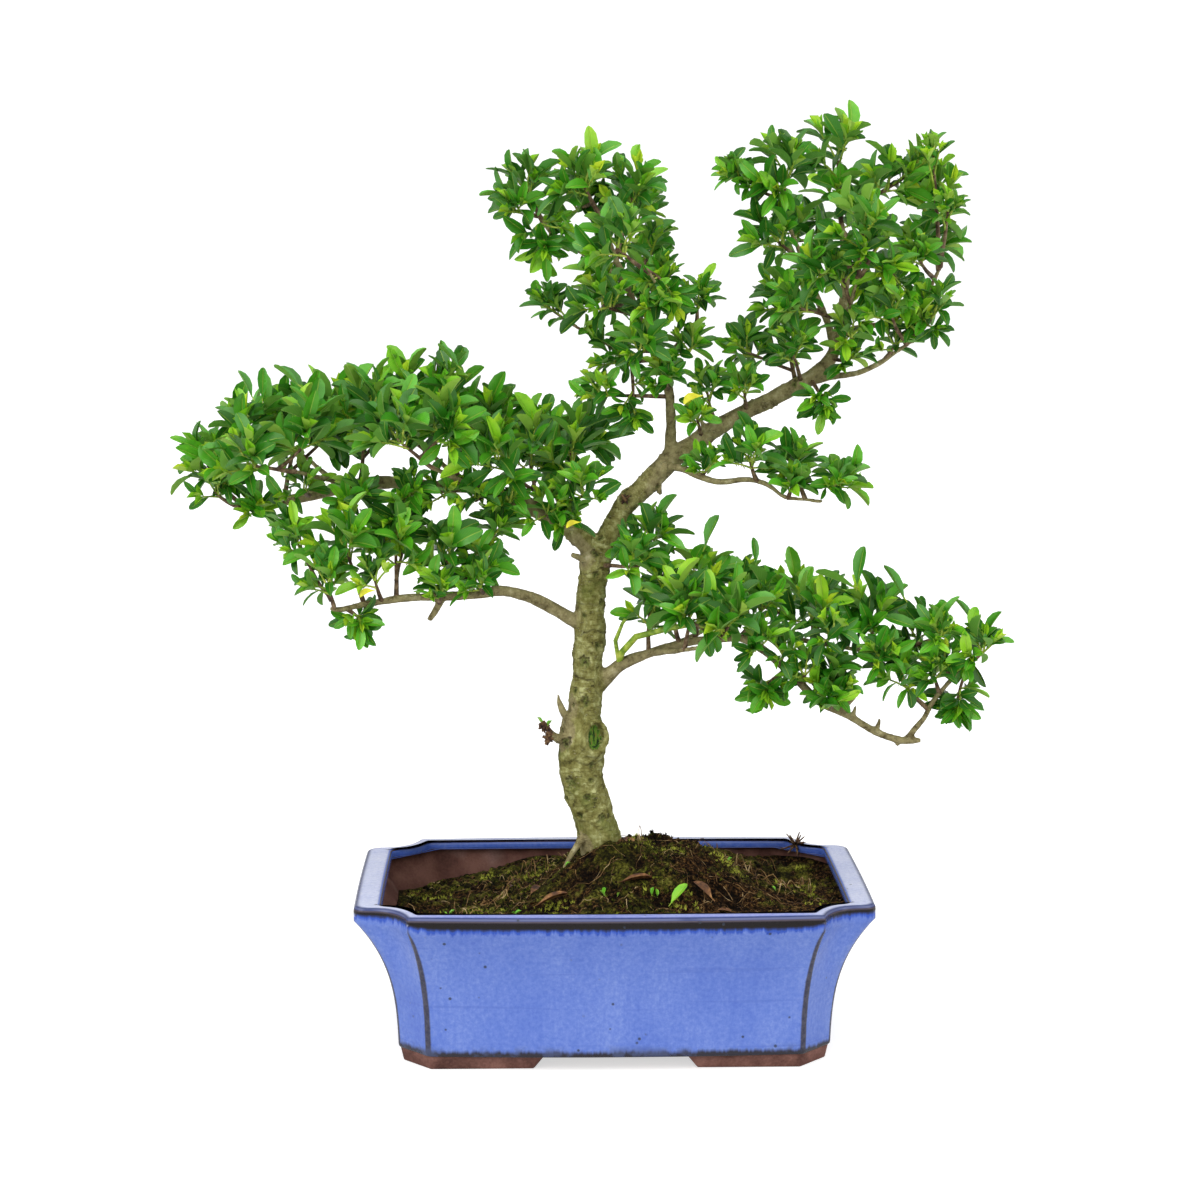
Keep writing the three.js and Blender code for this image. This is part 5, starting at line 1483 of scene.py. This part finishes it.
# %% [markdown]
# ## Sprays of leaves
#
# Each spray grows from one place on a limb. Its first stem carries a crown of five shoots, and further
# crowns fork from that stem. Each shoot holds six leaves that turn round it by the golden angle, which is
# how a plant keeps them out of each other's shade. All of it comes from one seed for each spray, so the
# same rules always give the same tree.

# %% The sprays: the limb, the share of it where the spray grows, then each crown's middle and radius
SPRAYS = {
    "left_01": ("left_main", 0.975, (-238, 12, 343, 25), (-212, 0, 364, 26)),
    "left_02": ("left_back_far", 0.97, (-206, 62, 354, 29), (-172, 58, 362, 28)),
    "left_03": ("left_front_far", 0.97, (-210, -36, 348, 29), (-176, -24, 360, 28)),
    "left_04": ("left_main", 0.82, (-186, 16, 368, 26), (-160, 30, 370, 27)),
    "left_05": ("left_main", 0.62, (-142, 2, 378, 28), (-118, 20, 382, 28)),
    "left_06": ("left_back", 0.97, (-132, 62, 366, 29), (-100, 58, 368, 28)),
    "left_07": ("left_front", 0.97, (-124, -42, 364, 29), (-97, -38, 366, 28)),
    "left_08": ("left_main", 0.42, (-98, 4, 384, 27), (-68, 46, 354, 27), (-72, 14, 364, 28)),
    "left_09": ("left_main", 0.24, (-48, 0, 350, 27), (-68, -28, 350, 27)),
    "left_10": ("inner_back", 0.97, (-42, 52, 352, 27), (-12, 44, 352, 26)),
    "left_11": ("left_main", 0.12, (-24, 6, 352, 26), (-17, -20, 328, 22)),
    "low_left_01": ("left_lower", 0.97, (-164, -50, 278, 20), (-184, -34, 303, 15)),
    "low_left_02": ("left_lower", 0.88, (-147, -44, 257, 9)),
    "low_left_03": ("left_lower", 0.8, (-154, -36, 300, 27)),
    "low_left_04": ("left_lower", 0.66, (-126, -34, 300, 26), (-122, -6, 302, 25)),
    "low_left_05": ("left_lower", 0.45, (-98, -26, 293, 25), (-78, -20, 284, 18), (-66, -10, 306, 16)),
    "centre_01": ("centre_left", 0.97, (-49, 8, 502, 23), (-40, -14, 480, 23)),
    "centre_02": ("centre", 0.98, (-16, -6, 506, 27), (-20, 26, 492, 27)),
    "centre_03": ("centre", 0.8, (12, 6, 500, 27)),
    "centre_04": ("centre_back", 0.97, (16, 58, 488, 27), (0, 44, 458, 27)),
    "centre_05": ("centre_front", 0.97, (2, -48, 472, 28), (30, -32, 450, 22)),
    "centre_06": ("centre", 0.68, (25, 14, 468, 17)),
    "centre_07": ("centre", 0.56, (-6, -14, 438, 24)),
    "centre_08": ("centre_right", 0.97, (50, -5, 437, 21)),
    "centre_09": ("centre", 0.4, (2, 0, 403, 20), (-37, 2, 433, 9), (12, -8, 376, 14)),
    "top_01": ("top_left", 0.98, (102, 6, 512, 28), (72, 4, 508, 15)),
    "top_02": ("top_left", 0.62, (97, 2, 474, 25)),
    "top_03": ("right_main", 0.98, (134, 28, 524, 28), (162, 14, 504, 27)),
    "top_04": ("top_back", 0.97, (142, 82, 492, 29), (112, 62, 474, 27), (156, 56, 458, 26)),
    "top_05": ("top_front", 0.97, (142, -38, 480, 29), (118, -30, 456, 25), (164, -14, 454, 26)),
    "top_06": ("top_right", 0.97, (192, 18, 498, 28), (188, 36, 468, 26)),
    "top_07": ("top_low_right", 0.97, (188, -6, 432, 23)),
    "top_08": ("top_left", 0.3, (100, 16, 436, 23)),
    "top_09": ("right_main", 0.56, (106, 28, 412, 23), (80, 14, 408, 17)),
    "top_10": ("right_main", 0.36, (56, -2, 385, 17)),
    "top_11": ("right_main", 0.6, (124, 2, 379, 11)),
    "middle_01": ("right_middle", 0.5, (80, -22, 347, 23)),
    "middle_02": ("right_middle", 0.86, (106, -14, 342, 19), (132, -24, 332, 18)),
    "right_01": ("right_main", 0.06, (24, -14, 299, 23)),
    "right_02": ("right_lower", 0.2, (22, -12, 258, 21)),
    "right_03": ("right_lower_front", 0.97, (66, -58, 258, 27), (38, -48, 262, 25)),
    "right_04": ("right_lower", 0.32, (54, -8, 272, 25)),
    "right_05": ("right_lower_back", 0.97, (112, 60, 252, 25), (80, 44, 260, 26)),
    "right_06": ("right_lower", 0.44, (87, -24, 261, 22)),
    "right_07": ("right_lower_inner", 0.45, (118, -8, 254, 24), (130, 24, 249, 24)),
    "right_08": ("right_lower_inner", 0.75, (152, -8, 252, 26)),
    "right_09": ("right_lower_inner", 0.97, (181, -8, 240, 22)),
    "right_10": ("right_lower_turn", 0.97, (215, -40, 237, 20), (200, -38, 206, 11)),
    "right_11": ("right_lower", 0.58, (88, -30, 214, 11)),
    "right_12": ("right_lower_turn", 0.5, (166, -34, 222, 20)),
    "right_13": ("right_lower", 0.7, (126, -30, 221, 22)),
}
# Shoots that fill the crowns and grow from the nearest limb: the crown's middle and radius.
FILLERS = {
    "filler_left": [
        (-233, 2, 327, 18), (-208, -6, 314, 13), (-180, -14, 328, 18), (-148, -22, 324, 18),
        (-118, -22, 326, 18), (-98, -16, 325, 18), (-80, -18, 323, 17), (-60, -18, 322, 17),
        (-38, -14, 315, 18), (-26, -12, 308, 13)],
    "filler_low_left": [
        (-137, -50, 281, 19), (-100, -40, 270, 15), (-77, -36, 274, 15), (-123, -30, 310, 19)],
    "filler_centre": [
        (15, -34, 411, 23), (45, -14, 410, 20), (78, 0, 384, 14), (-2, -34, 437, 22), (30, -20, 392, 15),
        (22, -36, 436, 16), (-8, -10, 384, 15), (50, -8, 368, 10), (55, -16, 340, 13),
        (30, -24, 452, 12), (-57, -4, 489, 10)],
    "filler_top": [
        (108, -24, 436, 22), (139, -14, 418, 20), (160, -24, 433, 22), (178, 10, 514, 15),
        (178, -10, 462, 16), (166, 0, 412, 18), (140, 8, 402, 15), (150, -38, 470, 18), (106, -4, 408, 17),
        (132, -30, 452, 16), (195, -6, 489, 12), (186, -6, 521, 11), (178, -8, 424, 12)],
    "filler_right": [
        (15, -34, 287, 20), (28, -30, 281, 15), (44, -50, 263, 20), (84, -50, 242, 19),
        (111, -42, 224, 18), (126, -50, 248, 20), (131, -40, 213, 16), (126, -44, 205, 13),
        (190, -42, 246, 15), (186, -44, 222, 15), (156, -44, 232, 15), (98, -46, 236, 15),
        (192, -42, 230, 11), (104, -26, 330, 9)],
}
GOLDEN_TURN = math.pi * (3 - math.sqrt(5))
LEAF_LENGTH = 23
LEAF_SLENDER = 0.4
FORK_SHARES = [0.36, 0.58]
LEAF_SIZES = {"left": 0.98, "right": 1.0, "middle": 1.0, "centre": 0.9, "top": 0.88}
print("sprays:", len(SPRAYS), "and filling shoots:", sum(len(crowns) for crowns in FILLERS.values()))


# %% Repeatable numbers and a stem's curve
def repeatable(seed):
    """Numbers from 0 to 1 that are the same in every run."""
    state = [seed]

    def draw():
        state[0] = state[0] * 16807 % 2147483647
        return state[0] / 2147483647

    return draw


def bent(start, middle, end, share):
    """A point on the curve that leaves the start towards the middle and then turns to the end."""
    return start.lerp(middle, share).lerp(middle.lerp(end, share), share)


# %% Where the leaves of a shoot are
def leaves_on(start, tip, scale, draw):
    """A shoot's directions and its six leaves: turn, opening, length, slenderness, arch, share down."""
    shoot = (tip - start).normalized()
    across = shoot.cross(Vector((0.2, 0.97, 0.1))).normalized()
    around = shoot.cross(across)
    spin = draw() * 2 * math.pi
    leaves = []
    for k in range(6):
        down = k / 5
        turn = spin + k * GOLDEN_TURN
        opened = math.radians(lerp(34, 72, down) + (draw() - 0.5) * 20)
        length = LEAF_LENGTH * scale * lerp(0.78, 1.18, draw())
        slender = LEAF_SLENDER * lerp(0.88, 1.12, draw())
        arch = lerp(0.1, 0.24, draw())
        leaves.append((turn, opened, length, slender, arch, down))
    return {"shoot": shoot, "across": across, "around": around, "leaves": leaves, "start": start, "tip": tip}


# %% Where the stems and shoots of a spray are
def spray_plan(number, foot, *crowns):
    """The stems of a spray from its foot on the limb; the first crown's stem carries the others."""
    draw = repeatable(4001 + 97 * number)
    stems = []
    for x, y, z, reach in crowns:
        hub = Vector((x, y, z - 0.2 * reach))
        start = bent(*stems[0]["curve"], FORK_SHARES[len(stems) - 1]) if stems else foot
        span = hub - start
        middle = start.lerp(hub, 0.5) + Vector((0.1 * span.x, 0.1 * span.y, 0))
        curve = (start, middle, hub)
        upward = -UP if span.z < -0.4 * span.length else UP
        heading = draw() * 2 * math.pi
        scale = min(max(reach / 27, 0.7), 1)
        shoots = []
        for k in range(5):
            down = k / 4
            turn = heading + k * GOLDEN_TURN + (draw() - 0.5) * 0.5
            lift = math.radians(lerp(78, -10, down) + (draw() - 0.5) * 16)
            distance = reach * lerp(0.42, 0.62, draw())
            offset = Vector((math.cos(turn), math.sin(turn), 0)) * math.cos(lift) + upward * math.sin(lift)
            start = bent(*curve, lerp(1, 0.825, 2 * down))
            shoots.append(leaves_on(start, hub + offset * distance, scale, draw))
        stems.append({"curve": curve, "shoots": shoots, "reach": reach, "scale": scale})
    return stems


# %% Setting one leaf on its shoot
def leaf_matrix(shoot, root, turn, opened, length, slender, roll):
    """Points a leaf away from its shoot, with its face to the light: up, outwards and to the front."""
    outward = shoot["across"] * math.cos(turn) + shoot["around"] * math.sin(turn)
    along = (shoot["shoot"] * math.cos(opened) + outward * math.sin(opened) + UP * 0.12).normalized()
    face = shoot["shoot"] * 0.4 + UP * 0.35 + FRONT * 0.35
    face = (face - along * face.dot(along)).normalized()
    side = face.cross(along)
    face = face * math.cos(roll) + side * math.sin(roll)
    side = face.cross(along)
    columns = (along * length, side * length * slender, face * length)
    matrix = Matrix([[column[i] for column in columns] for i in range(3)]).to_4x4()
    matrix.translation = root
    return matrix


# %% The leaves of one shoot
def add_leaf(spray, marks, shape, matrix, age, tone):
    """Adds a leaf to a growing spray and notes its age, its tone and its number of points."""
    add_copy(spray, shape, matrix)
    marks.append((age, tone, len(shape.vertices)))


def grown_leaves(spray, marks, shoot, curve, size, older, left_out):
    """Full-grown leaves down a shoot, older towards its foot; a share of them has dropped."""
    more = [
        (turn + 1.1, opened + 0.1, length * 0.85, slender, arch, down + 0.1)
        for turn, opened, length, slender, arch, down in shoot["leaves"][1:5:2]
    ]
    for turn, opened, length, slender, arch, down in shoot["leaves"] + more:
        if rng.random() < left_out:
            continue
        root = bent(*curve, 1 - 0.66 * down)
        shape = BLADES[min(int((arch - 0.1) / 0.14 * 3), 2) * 2 + (rng.random() < 0.5)]
        roll = rng.uniform(-0.6, 0.6)
        matrix = leaf_matrix(shoot, root, turn, opened, length * size, slender * 0.84, roll)
        age = min(1, max(0.2, 0.34 + older + 0.4 * down + rng.uniform(-0.14, 0.3)))
        add_leaf(spray, marks, shape, matrix, age, rng.random() ** 1.5)


def young_leaves(spray, marks, shoot, curve, size, older):
    """Three or five small bright leaves round the tip of a shoot."""
    spin = rng.uniform(0, 6.3)
    for k in range(3 + 2 * (rng.random() < 0.7)):
        root = bent(*curve, 1 - 0.05 * k)
        opened = math.radians(12 + 9 * k + rng.uniform(-5, 5))
        length, slender, roll = size * rng.uniform(8, 15), rng.uniform(0.28, 0.38), rng.uniform(-0.4, 0.4)
        matrix = leaf_matrix(shoot, root, spin + k * GOLDEN_TURN, opened, length, slender, roll)
        shape = rng.choice(YOUNG_BLADES)
        age = max(0, rng.uniform(0.0, 0.25) + 0.04 * k + older * 0.4)
        add_leaf(spray, marks, shape, matrix, age, rng.random() ** 1.5)


def paint_leaves(mesh, ages, tones):
    """Writes the age and the tone of each point of the leaves; the stems' points get a middle value."""
    for name, values in (("age", ages), ("tone", tones)):
        values = values + [0.5] * (len(mesh.vertices) - len(values))
        mesh.attributes.new(name, "FLOAT", "POINT").data.foreach_set("value", values)


# %% What grows: the name, the plans of its sprays, and the frame's node that it takes the place of
growths = [
    (key, [spray_plan(number, spline_point(limb_points(row[0]), row[1]), *row[2:])], [f"spray_{key}"])
    for number, (key, row) in enumerate(SPRAYS.items())
]
number = len(SPRAYS)
for key, crowns in FILLERS.items():
    plans = []
    for crown in crowns:
        foot, _, _ = line_tree.find(Vector(crown[:3]) + Vector((0, 20, -10)))
        plans.append(spray_plan(number, foot, crown))
        number += 1
    growths.append((key, plans, []))
print("stems:", sum(len(plan) for _, plans, _ in growths for plan in plans))

# %% Growing the sprays
STEM_STEPS = 11
SHOOT_STEPS = 5
rng = random.Random(83)
leaf_count = 0
spray_pieces = []
for key, plans, nodes in growths:
    spray = bmesh.new()
    marks, stem_runs, shoot_runs = [], [], []
    left_out = 0.29 if nodes else 0.5
    leaf_size = next(factor for part, factor in LEAF_SIZES.items() if part in key)
    for rank, stem in [pair for plan in plans for pair in enumerate(plan)]:
        thick = 1.6 if rank == 0 else 1.2
        stem_run = []
        for k in range(STEM_STEPS + 1):
            point = bent(*stem["curve"], k / STEM_STEPS)
            sway = noise.noise_vector(point / 14) * (0.9 if 0 < k < STEM_STEPS else 0)
            stem_run.append((point + sway, lerp(thick, 0.75, k / STEM_STEPS)))
        stem_runs.append(stem_run)
        shoots = [(shoot, 1.0) for shoot in stem["shoots"]]
        if nodes:  # one more, smaller shoot on the side of the stem
            start = bent(*stem["curve"], rng.uniform(0.5, 0.85))
            turn = rng.uniform(0, 6.3)
            offset = Vector((math.cos(turn), math.sin(turn), rng.uniform(-0.35, 0.3)))
            tip = start + offset * stem["reach"] * rng.uniform(0.35, 0.55)
            shoots.append((leaves_on(start, tip, 0.85 * stem["scale"], rng.random), 0.8))
        for shoot, vigour in shoots:
            start, tip = shoot["start"], shoot["tip"]
            older = rng.choice((-0.16, -0.06, 0.04, 0.12, 0.2, 0.3))
            onward = (stem["curve"][2] - stem["curve"][1]).normalized()
            curve = (start, start.lerp(tip, 0.5) + onward * (tip - start).length * 0.12, tip)
            shoot_runs.append([
                (bent(*curve, k / SHOOT_STEPS), lerp(0.72, 0.45, k / SHOOT_STEPS))
                for k in range(SHOOT_STEPS + 1)
            ])
            grown_leaves(spray, marks, shoot, curve, leaf_size, older, left_out)
            young_leaves(spray, marks, shoot, curve, vigour * stem["scale"], older)
    leaf_count += len(marks)
    for runs, finish_number in ((stem_runs, 2), (shoot_runs, 3)):
        stem_mesh = tubes("stems", runs, 1)
        stem_mesh.polygons.foreach_set("material_index", [finish_number] * len(stem_mesh.polygons))
        spray.from_mesh(stem_mesh)
        bpy.data.meshes.remove(stem_mesh)
    mesh = mesh_of(spray, key)
    ages, tones = [[mark[i] for mark in marks for _ in range(mark[2])] for i in (0, 1)]
    paint_leaves(mesh, ages, tones)
    spray_pieces.append(add_piece(
        f"{key}_leaves", mesh, [leaf_upper, leaf_under, twig_bark, green_shoot], nodes
    ))
print("leaves:", leaf_count, "triangles:", triangles(*spray_pieces))
print("largest spray:", max(triangles(piece) for piece in spray_pieces), "triangles")

# %% [markdown]
# ## Fallen leaves
#
# A few leaves have dropped. Fresh ones keep their colour, and old ones turn brown and curl.

# %% The finishes of dead and yellow leaves
dead_leaf = cloudy_finish("dead_leaf", 190, 4, 0.6, ("3A2010", "6E4522", "AA7C48"), 0.6, 0.0005)
yellow_leaf = cloudy_finish("yellow_leaf", 160, 3, 0.5, ("C4B808", "DEDA14", "EEEC3C"), 0.45, 0.0003)
print(dead_leaf.material.name, yellow_leaf.material.name)


# %% Laying the leaves on the soil
def fallen_leaf(name, x, y, heading, length, finishes, slot, replaces=(), low=None, shape=0, raised=0.0):
    """A leaf whose slope follows the soil, laid with its lowest point just over a given height."""
    turn = math.radians(heading)
    along = Vector((math.cos(turn), math.sin(turn), 0))
    ends = [Vector((x, y, 0)) + along * length * s for s in (-0.4, 0.4)]
    back_height, front_height = [soil_height(end.x, end.y) for end in ends]
    along.z = (front_height - back_height) / (0.8 * length) + raised
    along.normalize()
    side = UP.cross(along).normalized()
    columns = (along * length, side * (length * LEAF_SLENDER), along.cross(side) * length * 0.6)
    matrix = Matrix([[column[i] for column in columns] for i in range(3)]).to_4x4()
    matrix.translation = Vector((x, y, soil_height(x, y))) - along * length / 2
    leaf = bmesh.new()
    add_copy(leaf, BLADES[shape], matrix)
    bottom = min(vert.co.z for vert in leaf.verts)
    lift = (low - bottom + 1.8) if low is not None else soil_top(x, y) - soil_height(x, y) + 1.8
    bmesh.ops.translate(leaf, verts=leaf.verts[:], vec=(0, 0, lift))
    mesh = mesh_of(leaf, name)
    paint_leaves(mesh, [0.32] * len(mesh.vertices), [0.4] * len(mesh.vertices))
    return add_piece(name, mesh, finishes, replaces)


# The name, x, y, the heading in degrees and the length.
FALLEN = [
    ("fallen_leaf_1", 37, -62, 44, 17, "fresh"), ("fallen_leaf_2", 13, -44, 8, 19, "dead"),
    ("fallen_leaf_3", 52, -52, 130, 18, "dead"), ("fallen_leaf_4", -36, -44, 10, 20, "dead"),
]
FRESH = ([leaf_upper, leaf_under], "leaves")
DEAD = ([dead_leaf, dead_leaf], "dead_leaves")
for name, *lie, kind in FALLEN:
    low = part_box(name)[0].z * 1000
    if kind == "fresh":
        fallen_leaf(f"{name}_blade", *lie, *FRESH, [name], low, shape=0, raised=0.45)
    else:
        fallen_leaf(f"{name}_blade", *lie, *DEAD, [name], low, shape=4)
EXTRA_DEAD = [(8, -5, 15, 13), (-46, -10, 60, 11), (-45, -36, 140, 10), (64, -62, 30, 12), (-60, 20, 80, 9)]
for k, lie in enumerate(EXTRA_DEAD, 5):
    fallen_leaf(f"fallen_leaf_{k}_blade", *lie, *DEAD, shape=5)

# %% [markdown]
# ## Small things that catch the eye
#
# Three leaves have turned yellow among the green ones, and young green twigs rise along the lowest branch
# on the right. They are set one by one, because chance wouldn't put them where the eye finds them.

# %% Yellow leaves
yellow_bm = bmesh.new()
YELLOW = [((-19, -34, 309), 190, 9), ((-137, -52, 272), 200, 10), ((52, -20, 381), 200, 13)]
for at, heading, length in YELLOW:
    spot = Matrix.Translation(at) @ turned(math.radians(heading), 0.3, 0.9)
    add_copy(yellow_bm, BLADES[2], spot @ Matrix.Diagonal((length, length * 0.42, length, 1)))
add_piece("yellow_leaves", mesh_of(yellow_bm, "yellow_leaves"), [yellow_leaf, yellow_leaf])


# %% Green twigs
def run_of(rows):
    """Rows of x, y, z and radius as a run for a tube."""
    return [(Vector(row[:3]), row[3]) for row in rows]


GREEN_TWIGS = [
    [(4, -2, 220, 1.4), (6, -8, 229, 2.0), (14, -14, 239, 1.9), (34, -27, 246, 1.7), (54, -37, 251, 1.4),
     (67, -43, 253, 0.8)],
    [(4, -4, 223, 1.3), (2, -10, 236, 1.3), (6, -14, 247, 1.0), (12, -16, 255, 0.7)],
]
twig_mesh = tubes("green_twig", [run_of(rows) for rows in GREEN_TWIGS], 3)
add_piece("green_twig", twig_mesh, [green_shoot])

# %% [markdown]
# Burrs are knots of dry twigs that point every way: two hold the cut buds on the trunk's left, one sits on
# the right branch and a wide one stands at the back of the soil. Each is a handful of short bent tubes from
# one middle.

# %% Dry burrs
burr_bark = cloudy_finish("burr_bark", 300, 4, 0.6, ("24160C", "553A24", "8E7048"), 0.85, 0.0006)
burrs = [
    run_of([(-33, -9, 178, 2.0), (-37, -10, 182, 2.0), (-41, -10, 188, 1.4)]),
    run_of([(-33, -9, 178, 2.0), (-37, -10, 178, 1.8), (-39, -10, 174, 1.2)]),
]
# The middle, how many twigs, how far they reach and how thick they are.
BURRS = [
    ((-40, -10, 185), 22, 3.4, 1.3), ((-38, -10, 178), 22, 3.2, 1.3), ((118, 86, 92), 22, 9, 0.85),
    ((8, -4, 319), 14, 3.4, 1.0),
]
rng = random.Random(71)
for at, count, reach, thick in BURRS:
    for _ in range(count):
        way = Vector((rng.uniform(-1, 1), rng.uniform(-1, 1), rng.uniform(-0.8, 1.2))).normalized()
        bend = way.cross(UP) * rng.uniform(-0.3, 0.3)
        long = reach * rng.uniform(0.6, 1.2)
        burrs.append([
            (Vector(at) + way * long * s + bend * long * s * s, lerp(thick, thick * 0.4, s))
            for s in (0, 0.35, 0.7, 1)
        ])
add_piece("dry_burrs", tubes("dry_burrs", burrs, 1), [burr_bark])

# %% [markdown]
# Small sprouts open on the burr, on the soil and at its edge, and a few long leaves stand alone above the
# pads. Each is a row of numbers and a copy of a blade.


# %% Leaves set one by one
def loose_leaves(name, rows, blade, slender, age):
    """Single leaves as one piece; a height of 0 stands for the top of the soil."""
    leaves = bmesh.new()
    for x, y, z, heading, lean, length in rows:
        spot = Matrix.Translation((x, y, z or soil_top(x, y) + 0.6)) @ turned(math.radians(heading), lean)
        add_copy(leaves, blade, spot @ Matrix.Diagonal((length, length * slender, length, 1)))
    mesh = mesh_of(leaves, name)
    paint_leaves(mesh, [age] * len(mesh.vertices), [0.5] * len(mesh.vertices))
    return add_piece(name, mesh, [leaf_upper, leaf_under])


# The foot of each leaf, its heading in degrees, how far it leans back in radians, and its length.
SPROUTS = [
    (-41, -11, 186, 150, -0.9, 6), (-39, -11, 184, 20, -0.9, 6), (-58, -46, 0, 20, -0.4, 5),
    (-56, -44, 0, 200, -0.4, 4), (-97, -12, 0, 10, -0.8, 5), (-98, -12, 0, 150, -0.9, 4),
    (-6, -52, 0, 80, -0.9, 5), (-5, -52, 0, 150, -0.7, 5), (2, -54, 0, 300, -0.9, 4),
    (22, -54, 0, 60, -1.2, 5), (25, -54, 0, 110, -1.3, 5), (-28, -16, 0, 20, -0.6, 4),
    (70, 10, 0, 30, -0.5, 4), (98, -6, 0, 130, -0.5, 4),
]
LONE_LEAVES = [
    (53, -30, 293, 50, -0.95, 23), (142, -30, 270, 60, -1.2, 25), (170, -30, 263, 130, -0.85, 25),
    (210, -34, 249, 135, -0.8, 19), (83, -30, 283, 100, -1.2, 17), (141, -30, 270, 170, -0.4, 25),
    (-208, -20, 380, 130, -0.85, 21), (-202, -24, 379, 90, -1.2, 20), (-181, -20, 387, 150, -0.6, 21),
    (-89, -10, 397, 140, -0.7, 21),
]
loose_leaves("sprouts", SPROUTS, YOUNG_BLADES[0], 0.45, 0.36)
loose_leaves("lone_leaves", LONE_LEAVES, BLADES[0], 0.29, 0.7)
